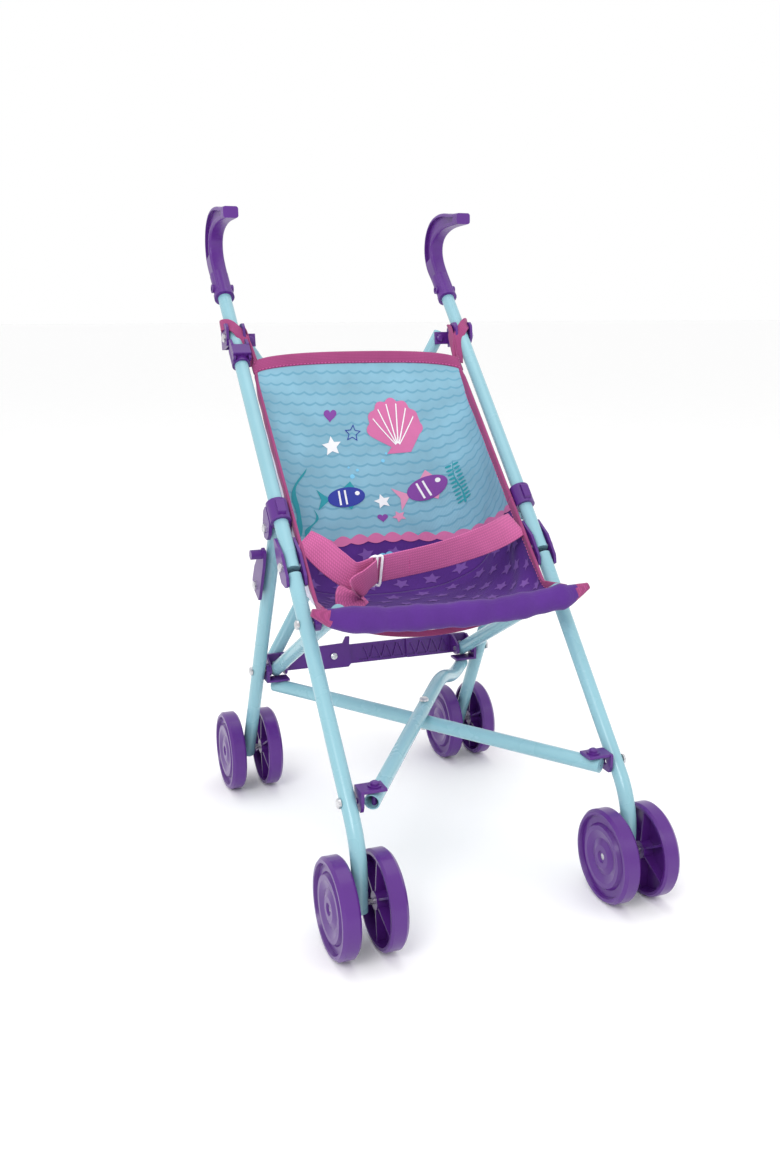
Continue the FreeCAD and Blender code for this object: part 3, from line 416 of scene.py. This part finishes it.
def place_outline(points, s, t, turn=0.0, scale=1.0):
    """Outline in millimetres (x right, y up) to (s, t) on the cloth."""
    c, d = math.cos(turn), math.sin(turn)
    placed = []
    for x, y in points:
        px, py = (x * c - y * d) * scale, (x * d + y * c) * scale
        placed.append((s - py / 1000 / CLOTH_LENGTH, t + px / 1000 / HALF_CLOTH))
    return placed


def flat_piece(name, outlines, ink, lift=PRINT_LIFT):
    """Printed patches that follow the cloth: each outline becomes one filled patch."""
    shape = bmesh.new()
    for outline_points in outlines:
        corners = [shape.verts.new((t, s, 0)) for s, t in outline_points]
        shape.faces.new(corners)
    bmesh.ops.triangulate(shape, faces=shape.faces[:])
    long_edges = [e for e in shape.edges if e.calc_length() > 0.05]
    if long_edges:
        bmesh.ops.subdivide_edges(shape, edges=long_edges, cuts=2, use_grid_fill=False)
        bmesh.ops.triangulate(shape, faces=shape.faces[:])
    vertices, uvs = [], []
    for vertex in shape.verts:
        t, s = vertex.co.x, vertex.co.y
        vertices.append(on_cloth(s, t, lift))
        uvs.append((t * HALF_CLOTH, -s * CLOTH_LENGTH))
    shape.verts.index_update()
    faces = []
    for face in shape.faces:
        order = [v.index for v in face.verts]
        a, b, c = (np.array(vertices[k]) for k in order[:3])
        t, s = face.verts[0].co.x, face.verts[0].co.y
        outward = on_cloth(s, t, 0.01) - on_cloth(s, t)
        faces.append(order if np.cross(b - a, c - a) @ outward > 0 else order[::-1])
    shape.free()
    return new_object(name, vertices, faces, [INKS[ink]], None, uvs)


def star_outline(outer, inner):
    """Five-pointed star with one point up."""
    points = []
    for i in range(10):
        radius = outer if i % 2 == 0 else inner
        angle = math.pi / 2 + i * math.pi / 5
        points.append((radius * math.cos(angle), radius * math.sin(angle)))
    return points


def oval(width, height, count=28, x=0.0, y=0.0):
    angles = [2 * math.pi * i / count for i in range(count)]
    return [(x + width * math.cos(a), y + height * math.sin(a)) for a in angles]


def heart_outline(width):
    points = []
    for i in range(30):
        a = 2 * math.pi * i / 30
        rise = 13 * math.cos(a) - 5 * math.cos(2 * a) - 2 * math.cos(3 * a) - math.cos(4 * a)
        points.append((width / 2 * math.sin(a) ** 3, width / 32 * rise))
    return points


def ring_strip(points, width):
    """Closed line of the given width round an outline, as separate quads."""
    quads = []
    count = len(points)
    shrunk = [(x * (1 - width), y * (1 - width)) for x, y in points]
    for i in range(count):
        j = (i + 1) % count
        quads.append([points[i], points[j], shrunk[j], shrunk[i]])
    return quads


def strand(start, height, sway, width, count=18, phase=0.0, lean=0.0):
    """Upright weed: a tapering wavy strip."""
    left, right = [], []
    for i in range(count + 1):
        k = i / count
        x = start + math.sin(k * 7.5 + phase) * sway * (0.3 + k) + lean * k
        w = width * (1 - k) ** 0.6 * (0.75 + 0.25 * math.sin(k * 15 + phase)) + 0.2
        left.append((x - w / 2, k * height))
        right.append((x + w / 2, k * height))
    return [[left[i], right[i], right[i + 1], left[i + 1]] for i in range(count)]


motifs = []


def motif(name, ink, outlines, s, t, turn=0.0, scale=1.0, lift=PRINT_LIFT):
    """Prints outlines given in millimetres at (s, t) on the cloth."""
    placed = [place_outline(points, s, t, turn, scale) for points in outlines]
    motifs.append(flat_piece(name, placed, ink, lift))


def scallop_shell(s, t, turn, scale):
    """Fan shell with ribs."""
    fan = [(-5, -15)]
    for i in range(45):
        a = math.radians(200 - 220 * i / 44)
        bulge = 20 + 2.8 * abs(math.sin((i / 44) * math.pi * 7))
        fan.append((bulge * math.cos(a), bulge * math.sin(a)))
    fan.append((5, -15))
    fan.extend([(9, -20), (-9, -20)])
    motif("shell_fan", "pink", [fan], s, t, turn, scale)
    printed_ribs_and_rib_shade = []
    for i in range(6):
        a = math.radians(170 - 160 * (i + 0.5) / 6)
        tip = (18.5 * math.cos(a), 18.5 * math.sin(a))
        foot = (1.5 * math.cos(a), -14 + 1.5 * math.sin(a))
        side = (-math.sin(a) * 0.5, math.cos(a) * 0.5)
        printed_ribs_and_rib_shade.append([(foot[0] - side[0], foot[1] - side[1]), (tip[0] - side[0], tip[1] - side[1]),
                     (tip[0] + side[0], tip[1] + side[1]), (foot[0] + side[0], foot[1] + side[1])])
    motif("shell_ribs", "white", printed_ribs_and_rib_shade, s, t, turn, scale, 0.0012)


def plain_fish(name, body_ink, fin_ink, s, t, turn, scale):
    """Oval fish with a forked tail, two fins, an eye and two bands."""
    motif(name + "_tail", fin_ink, [[(-12, 0), (-22, 9), (-19, 0), (-22, -9)]], s, t, turn, scale)
    fins = [[(-3, 7), (5, 13), (8, 6)], [(-2, -6), (2, -11), (6, -6)]]
    motif(name + "_fin", fin_ink, fins, s, t, turn, scale)
    motif(name + "_body", body_ink, [oval(14, 8.5)], s, t, turn, scale, BODY_LIFT)
    motif(name + "_eye", "white", [oval(1.8, 1.8, 14, 8.5, 2)], s, t, turn, scale, DETAIL_LIFT)
    bands = [[(x - 0.7, -6.2), (x + 0.7, -6.2), (x + 0.7, 6.2), (x - 0.7, 6.2)] for x in (-5, -0.5)]
    motif(name + "_bands", "white", bands, s, t, turn, scale, DETAIL_LIFT)


scallop_shell(0.185, 0.255, 0.0, 1.3)
plain_fish("violet_fish", "violet", "rose", 0.345, 0.40, 0.25, 1.35)
plain_fish("blue_fish", "blue", "teal", 0.35, -0.17, 0.12, 1.15)
motif("white_star", "white", [star_outline(10, 4.8)], 0.225, -0.27, 0.15)
motif("line_star", "blue", ring_strip(star_outline(9, 4.3), 0.22), 0.195, -0.10, -0.1)
motif("violet_heart", "violet", [heart_outline(14)], 0.15, -0.29)
motif("small_star", "white", [star_outline(7.5, 3.6)], 0.365, 0.075, 0.2)
motif("small_heart", "violet", [heart_outline(9)], 0.405, 0.06)
motif("sea_star", "rose", [star_outline(6, 3.0)], 0.405, 0.17, 0.4)
motif("weed_left", "teal", strand(0, 74, 5, 9) + strand(-9, 46, 4, 6, phase=1.4, lean=-10)
      + strand(9, 34, 3, 4.5, phase=2.6, lean=8), 0.465, -0.51)
motif("weed_right", "teal", strand(0, 50, 1.5, 2.2) + [
    oval(3.2, 1.3, 10, side * 3.6, 4 + 4.6 * i) for i in range(10) for side in (-1, 1)], 0.42, 0.61)
BUBBLES = ((0, 0, 2.2), (5, 6, 1.5), (-3, 9, 1.1), (30, 14, 1.8), (34, 21, 1.2))
motif("bubbles", "light_blue", [oval(r, r, 14, x, y) for x, y, r in BUBBLES], 0.30, -0.12)

stars = []
for line, s in enumerate((0.492, 0.534, 0.575, 0.628, 0.670, 0.712, 0.754, 0.796, 0.838, 0.880, 0.922)):
    for place in range(12):
        t = -0.93 + place * 0.172 + (line % 2) * 0.086
        if s < border_at(t) + 0.030 or abs(t) > 0.95:
            continue
        size = 6.4 + 0.6 * math.sin(5.1 * place + 2.3 * line)
        stars.append(place_outline(star_outline(size, size * 0.5), s, t, 0.35 * math.sin(3.0 * place + line)))
for tag, low, high in (("back", 0.0, SPLIT - 0.002), ("seat", SPLIT + 0.002, 1.0)):
    chosen = [points for points in stars
              if low < min(p[0] for p in points) and max(p[0] for p in points) < high]
    motifs.append(flat_piece("stars_" + tag, chosen, "star"))
motif("heart_high", "light_blue", [heart_outline(11)], 0.50, 0.05, 0.2, lift=0.0012)
motif("heart_white", "white", [heart_outline(10)], 0.88, -0.30, 0.6, lift=0.0012)
motif("heart_low", "light_blue", [heart_outline(11)], 0.92, 0.22, 0.1, lift=0.0012)


def border_strip():
    """Scalloped band between the sky and the purple."""
    vertices, uvs, faces = [], [], []
    steps, scallops = 420, 19
    for i in range(steps + 1):
        t = lerp(-0.995, 0.995, i / steps)
        s = border_at(t)
        crest = abs(math.sin(i / steps * math.pi * scallops))
        for shift in (-0.004 - 0.010 * crest, 0.0, 0.011 - 0.006 * (1 - crest)):
            vertices.append(on_cloth(s + shift, t, BODY_LIFT))
            uvs.append((t * HALF_CLOTH, -(s + shift) * CLOTH_LENGTH))
    for i in range(steps):
        for k in range(2):
            a = i * 3 + k
            faces.append((a, a + 1, a + 4, a + 3))
    return new_object("scallop_band", vertices, faces, [INKS["pink"]], None, uvs)


motifs.append(border_strip())


# ---- tapes, rolls and straps ---------------------------------------------------------------

def sweep(name, points, sides, normals, widths, thicks, mat, round_power=0.5, closed=False, extra=()):
    """Closed strip along points; sides and normals are unit vectors, widths and thicks full sizes."""
    ring = 16
    vertices, faces, uvs = [], [], []
    run = 0.0
    for i, point in enumerate(points):
        if i:
            run += float(np.linalg.norm(points[i] - points[i - 1]))
        for k in range(ring):
            a = 2 * math.pi * k / ring
            x = math.copysign(abs(math.cos(a)) ** round_power, math.cos(a)) * widths[i] / 2
            y = math.copysign(abs(math.sin(a)) ** round_power, math.sin(a)) * thicks[i] / 2
            vertices.append(point + sides[i] * x + normals[i] * y)
            uvs.append((x, run))
    count = len(points)
    for i in range(count if closed else count - 1):
        j = (i + 1) % count
        for k in range(ring):
            m = (k + 1) % ring
            faces.append((i * ring + k, i * ring + m, j * ring + m, j * ring + k))
    if not closed:
        faces.append(tuple(range(ring))[::-1])
        faces.append(tuple((count - 1) * ring + k for k in range(ring)))
    swept = new_object(name, vertices, faces, [mat, *extra], None, uvs)
    shape = bmesh.new()
    shape.from_mesh(swept.data)
    bmesh.ops.recalc_face_normals(shape, faces=shape.faces[:])
    shape.to_mesh(swept.data)
    shape.free()
    return swept


def frames_on_cloth(keys):
    """Points, outward sides and normals along the cloth for (s, t, outward s, outward t)."""
    points, sides, normals = [], [], []
    for s, t, out_s, out_t in keys:
        here, up = on_cloth(s, t), on_cloth(s, t, 0.001)
        inner = on_cloth(s - out_s * 0.02, t - out_t * 0.02)
        side = unit(here - inner)
        normal = up - here
        points.append(here)
        sides.append(side)
        normals.append(unit(normal - side * (normal @ side)))
    return points, sides, normals


def binding(name, keys, width, mat, thick=0.0030):
    """Folded tape over an edge of the cloth."""
    points, sides, normals = frames_on_cloth(keys)
    points = [p - side * (width / 2 - 0.0012) for p, side in zip(points, sides)]
    count = len(points)
    return sweep(name, points, sides, normals, [width] * count, [thick] * count, mat, 0.45)


def stitches(name, points, normals, lift, mat, pitch=0.0034, length=0.0022):
    """Row of short raised threads along a line."""
    run = distances(points)
    vertices, faces, uvs = [], [], []
    for key in np.arange(pitch, run[-1] - pitch, pitch):
        centre = between(key, run, points)
        up = unit(between(key, run, normals))
        way = unit(between(key + 0.0005, run, points) - centre)
        side = np.cross(way, up)
        base = len(vertices)
        for end in (-1, -0.4, 0.4, 1):
            size = 0.00030 if abs(end) < 1 else 0.00012
            for k in range(6):
                a = math.pi * k / 3
                vertices.append(centre + up * lift + way * end * length / 2
                                + side * math.cos(a) * size + up * math.sin(a) * size)
                uvs.append((a * 0.001, key + end * length / 2))
        for e in range(3):
            for k in range(6):
                m = (k + 1) % 6
                here, there = base + e * 6, base + (e + 1) * 6
                faces.append((here + k, here + m, there + m, there + k))
        faces.append(tuple(base + k for k in range(6))[::-1])
        faces.append(tuple(base + 18 + k for k in range(6)))
    return new_object(name, vertices, faces, [mat], None, uvs)


back_group, seat_group = [back_sling], [seat_sling]
for tag, side in (("r", -1), ("l", 1)):
    for zone, low, high, group in (("back", 0.0, SPLIT, back_group), ("seat", SPLIT, 0.985, seat_group)):
        keys = [(s, side * 1.0, 0.0, side) for s in np.linspace(low, high, 60)]
        group.append(binding("side_binding_%s_%s" % (zone, tag), keys, SIDE_TAPE, binding_tape))
        points, sides, normals = frames_on_cloth(keys)
        inner = [p - k * SIDE_SEAM_IN for p, k in zip(points, sides)]
        group.append(stitches("side_stitch_%s_%s" % (zone, tag), inner, normals, 0.0016, thread))
keys = [(0.0, t, -1.0, 0.0) for t in np.linspace(-1, 1, 90)]
back_group.append(binding("top_binding", keys, TOP_TAPE, binding_tape, 0.0034))
points, sides, normals = frames_on_cloth(keys)
back_group.append(stitches("top_stitch", [p - k * TOP_SEAM_IN for p, k in zip(points, sides)], normals,
                           0.0018, thread))


def front_roll():
    """Hem at the front of the seat, drawn out to a sewn point at each end."""
    points, sides, normals, widths, thicks = [], [], [], [], []
    steps, half_width, tall, tape_from = 96, 0.1215, 0.0210, 0.1085
    for i in range(steps + 1):
        k = 2 * i / steps - 1
        reach = abs(k)
        x = half_width * k
        sag = 0.0075 * (1 - reach ** 2)
        lift = 0.003 * max(0.0, reach - 0.85) / 0.15
        z = 0.2335 - sag + lift + 0.003 * reach ** 4
        points.append(np.array([x, -0.1035 - 0.001 * math.sin(6 * k), z]))
        crinkle = 1 + 0.05 * math.sin(17 * k) + 0.03 * math.sin(41 * k)
        fat = tall * (1 - max(0.0, reach - 0.80) / 0.20 * 0.72) * crinkle
        widths.append(fat * 0.80)
        thicks.append(fat)
    for i in range(steps + 1):
        along = unit(points[min(steps, i + 1)] - points[max(0, i - 1)])
        side = unit(np.cross(along, np.array([0.0, 0.35, 1.0])))
        sides.append(side)
        normals.append(np.cross(side, along))
    roll = sweep("front_roll", points, sides, normals, widths, thicks, purple_cloth, 0.85,
                 extra=[binding_tape])
    for polygon in roll.data.polygons:
        if abs(polygon.center[0]) > tape_from:
            polygon.material_index = 1
    return roll


seat_group.append(front_roll())


def under_panel():
    """Crescent of lining that hangs below the front hem, with a bound lower edge."""
    vertices, uvs, faces = [], [], []
    across, down = 60, 10
    middle, half_width, deepest = -0.012, 0.082, 0.0145
    low_points = []
    for i in range(across + 1):
        k = 2 * i / across - 1
        x = middle + half_width * k
        drop = deepest * (1 - k * k) ** 0.75
        for j in range(down + 1):
            m = j / down
            vertices.append((x, -0.097 + 0.010 * m, 0.2275 - 0.004 * (1 - k * k) - drop * m))
            uvs.append((x, -drop * m))
        low_points.append(np.array(vertices[-1]))
    for i in range(across):
        for j in range(down):
            a = i * (down + 1) + j
            faces.append((a, a + 1, a + down + 2, a + down + 1))
    grid = np.array(vertices).reshape(across + 1, down + 1, 3).transpose(1, 0, 2)
    panel = new_object("under_panel", vertices, faces, [reverse_cloth, reverse_cloth], None, uvs)
    panel = thicken(panel, CLOTH_THICK, 1)
    sides = [np.array([0.0, 0.25, -0.97])] * (across + 1)
    normals = [np.array([0.0, -0.97, -0.25])] * (across + 1)
    tape = sweep("under_binding", low_points, sides, normals, [0.0075] * (across + 1), [0.003] * (across + 1),
                 lower_tape, 0.45)
    return panel, tape, grid


under, under_tape, under_grid = under_panel()


def smooth_path(points, ups, count):
    """Centripetal curve through the points, with the directions carried along."""
    pts = np.hstack([np.array(points, float), np.array(ups, float)])
    run = np.concatenate([[0], np.cumsum(np.linalg.norm(np.diff(pts[:, :3], axis=0), axis=1) ** 0.5)])
    keys = np.linspace(0, run[-1], count)
    slopes = np.gradient(pts, run, axis=0)
    made = []
    for key in keys:
        i = min(max(int(np.searchsorted(run, key) - 1), 0), len(pts) - 2)
        h = run[i + 1] - run[i]
        x = (key - run[i]) / h
        made.append((2 * x ** 3 - 3 * x ** 2 + 1) * pts[i] + (x ** 3 - 2 * x ** 2 + x) * h * slopes[i]
                    + (3 * x ** 2 - 2 * x ** 3) * pts[i + 1] + (x ** 3 - x ** 2) * h * slopes[i + 1])
    return [p[:3] for p in made], [p[3:] for p in made]


def strap(name, path, ups, width, thick, mat, count=70):
    """Flat webbing along a path; ups are the width directions at the path's points."""
    points, wide = smooth_path(path, ups, count)
    sides, normals = [], []
    for i in range(count):
        along = unit(points[min(count - 1, i + 1)] - points[max(0, i - 1)])
        side = unit(wide[i] - along * (wide[i] @ along))
        sides.append(side)
        normals.append(np.cross(along, side))
    tape = sweep(name, points, sides, normals, [width] * count, [thick] * count, mat, 0.3)
    return tape, points, sides, normals


RING_AT = np.array([-0.049, -0.043, 0.2535])
BELT_WIDE, BELT_THICK = 0.025, 0.0016
EDGE_WAY, RING_UP = (0.0, 0.717, 0.697), (0.10, -0.25, 0.96)
belt_l, path_l, across_l, face_l = strap(
    "belt_left", [(0.0995, -0.0125, 0.2780), (0.070, -0.025, 0.2705), (0.020, -0.035, 0.2610),
                  tuple(RING_AT)],
    [EDGE_WAY, (0, 0.25, 0.95), (0, -0.1, 0.99), RING_UP], BELT_WIDE, BELT_THICK, webbing)
belt_r, path_r, across_r, face_r = strap(
    "belt_right", [(-0.0995, -0.0125, 0.2780), (-0.090, -0.019, 0.2705), (-0.078, -0.032, 0.2585),
                   (-0.066, -0.043, 0.2505), tuple(RING_AT + np.array([0.001, -0.002, 0.001]))],
    [EDGE_WAY, (0.25, 0.50, 0.80), (0.40, 0.10, 0.85), (0.25, -0.20, 0.92), RING_UP],
    BELT_WIDE, BELT_THICK, webbing, 90)
belt_tail, path_t, *_ = strap(
    "belt_tail", [tuple(RING_AT + np.array([0.002, -0.0035, 0.0])), (-0.060, -0.0535, 0.2475),
                  (-0.0725, -0.0545, 0.2385), (-0.0735, -0.0555, 0.2315), (-0.068, -0.0585, 0.2235)],
    [RING_UP, (0.25, -0.2, 0.94), (0.75, -0.1, 0.6), (0.97, 0.0, 0.2), (0.98, 0.0, 0.1)],
    BELT_WIDE, BELT_THICK, webbing, 60)
belt_group = [belt_l, belt_r, belt_tail]
for tag, path, across, face, cut in (("l", path_l, across_l, face_l, 0.80),
                                     ("r", path_r, across_r, face_r, 0.03)):
    at = int(cut * len(path))
    line = [path[at] + across[at] * w for w in np.linspace(-0.0105, 0.0105, 8)]
    for name, way in (("belt_stitch_", 1), ("belt_stitch_back_", -1)):
        belt_group.append(stitches(name + tag, line, [face[at] * way] * 8, 0.0010, thread, 0.0028, 0.0019))


def double_ring():
    """Two D rings of white moulded wire, side by side."""
    reach, half_height, wire, gap = 0.0085, 0.0138, 0.0023, 0.0022
    bow = [math.pi * (i / 39) + math.pi / 2 for i in range(40)]
    outline_points = [(reach * math.cos(a), half_height * math.sin(a)) for a in bow]
    outline_points += [(0.0006, -half_height + 2 * half_height * i / 14) for i in range(1, 14)]
    wide, up = unit(np.array([0.93, -0.33, -0.09])), np.array(RING_UP)
    up = unit(up - wide * (up @ wide))
    out = np.cross(wide, up)
    rings = []
    for number, shift in enumerate((-gap, gap)):
        centre = RING_AT + wide * (0.004 + shift) - out * shift * 0.4
        loop = [centre + wide * x + up * y for x, y in outline_points]
        count = len(loop)
        normals = [np.cross(unit(loop[(i + 1) % count] - loop[i - 1]), out) for i in range(count)]
        rings.append(sweep("belt_ring_%d" % number, loop, [out] * count, normals, [wire] * count,
                           [wire] * count, ring_white, 1.0, closed=True))
    return rings


ring_group = double_ring()


def handle_loop(tag, side):
    """Pink tape from the sling's corner up and round the handle tube above the top yoke."""
    out, front, along = np.array([1.0, 0.0, 0.0]), np.array(HANDLE_FRONT), np.array(HANDLE_ALONG)
    corner = np.array([0.1025, 0.1265, 0.4140])
    stops = [(-0.0068, 0.0040, -0.006, front), (0.0, 0.0080, 0.004, front),
             (0.0062, 0.0062, 0.011, out + front), (0.0102, 0.0, 0.015, out),
             (0.0062, -0.0066, 0.016, out - front), (0.0, -0.0082, 0.0155, -front),
             (-0.0070, -0.0062, 0.014, -front - out), (-0.0108, 0.0, 0.006, -out)]
    spots = [corner] + [np.array(TOP_SCREW) + out * x + front * y + along * z for x, y, z, _ in stops]
    spots.append(corner + np.array([-0.0006, 0.0016, -0.0008]))
    ups = []
    for i, facing in enumerate([front] + [stop[3] for stop in stops] + [-out]):
        ahead = spots[min(i + 1, len(spots) - 1)] - spots[max(i - 1, 0)]
        ups.append(unit(np.cross(unit(facing), unit(ahead))))
    mirror = np.array([side, 1.0, 1.0])
    return strap("handle_loop_" + tag, [p * mirror for p in spots], [u * mirror for u in ups], LOOP_TAPE,
                 LOOP_THICK, binding_tape, 110)[:2]


loops = {tag: handle_loop(tag, side) for tag, side in (("r", -1), ("l", 1))}


# ---- riding and hidden parts -----------------------------------------------------------------


# The folded frame is narrower: each group is drawn in towards the right side that it rides on.
SEAT_PRINTS = ("stars_seat", "heart_white", "heart_low")
for piece in motifs:
    (seat_group if piece.name in SEAT_PRINTS else back_group).append(piece)
for tag, (piece, path) in loops.items():
    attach(piece, "top_yoke_" + tag)
for group, body in ((back_group, "top_yoke_r"),
                    (seat_group + [under, under_tape] + belt_group + ring_group, "seat_rail_r")):
    for piece in group:
        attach(piece, body)
        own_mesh(piece)
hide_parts("back_cloth")
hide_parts("seat_cloth")
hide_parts("waist_belt")
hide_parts("belt_ring")


# ---- floor, light and camera -----------------------------------------------------------------

floor_mat = moulded("floor", PALE_FLOOR, rough=0.7, coat=0.0, spread=0.005, grain=40.0)
bpy.ops.mesh.primitive_plane_add(size=60, location=(0, 0, 0))
floor = bpy.context.object
floor.name = "floor"
floor.data.materials.append(floor_mat)

world = bpy.data.worlds.new("studio")
bpy.context.scene.world = world
world.use_nodes = True
world.node_tree.nodes["Background"].inputs["Color"].default_value = (1, 1, 1, 1)
world.node_tree.nodes["Background"].inputs["Strength"].default_value = 1.0


def softbox(name, place, aim, width, height, power):
    """Rectangular studio light that points from place to aim."""
    light = bpy.data.lights.new(name, "AREA")
    light.shape, light.size, light.size_y, light.energy = "RECTANGLE", width, height, power
    lamp = bpy.data.objects.new(name, light)
    lamp.location = place
    lamp.rotation_euler = (Vector(aim) - Vector(place)).to_track_quat("-Z", "Y").to_euler()
    bpy.context.scene.collection.objects.link(lamp)


softbox("key", (-1.3, -1.5, 1.7), (0, 0, 0.25), 1.0, 1.0, 20)
softbox("fill", (1.6, -1.3, 1.2), (0, 0, 0.25), 1.2, 1.2, 4)
softbox("top", (0.0, 0.2, 2.2), (0, 0, 0.2), 1.6, 1.6, 8)

CAMERA_AT, YAW, PITCH, LENS = (-0.37098, -0.91962, 0.46854), 21.033, 13.685, 35.386
camera_data = bpy.data.cameras.new("camera")
camera_data.sensor_fit = "VERTICAL"
camera_data.sensor_height = 36.0
camera_data.lens = LENS
camera_data.clip_start = 0.01
camera = bpy.data.objects.new("camera", camera_data)
camera.location = CAMERA_AT
yaw, pitch = math.radians(YAW), math.radians(PITCH)
forward = Vector((math.sin(yaw) * math.cos(pitch), math.cos(yaw) * math.cos(pitch), -math.sin(pitch)))
camera.rotation_euler = forward.to_track_quat("-Z", "Y").to_euler()
bpy.context.scene.collection.objects.link(camera)
bpy.context.scene.camera = camera
bpy.context.scene.view_settings.view_transform = "Standard"
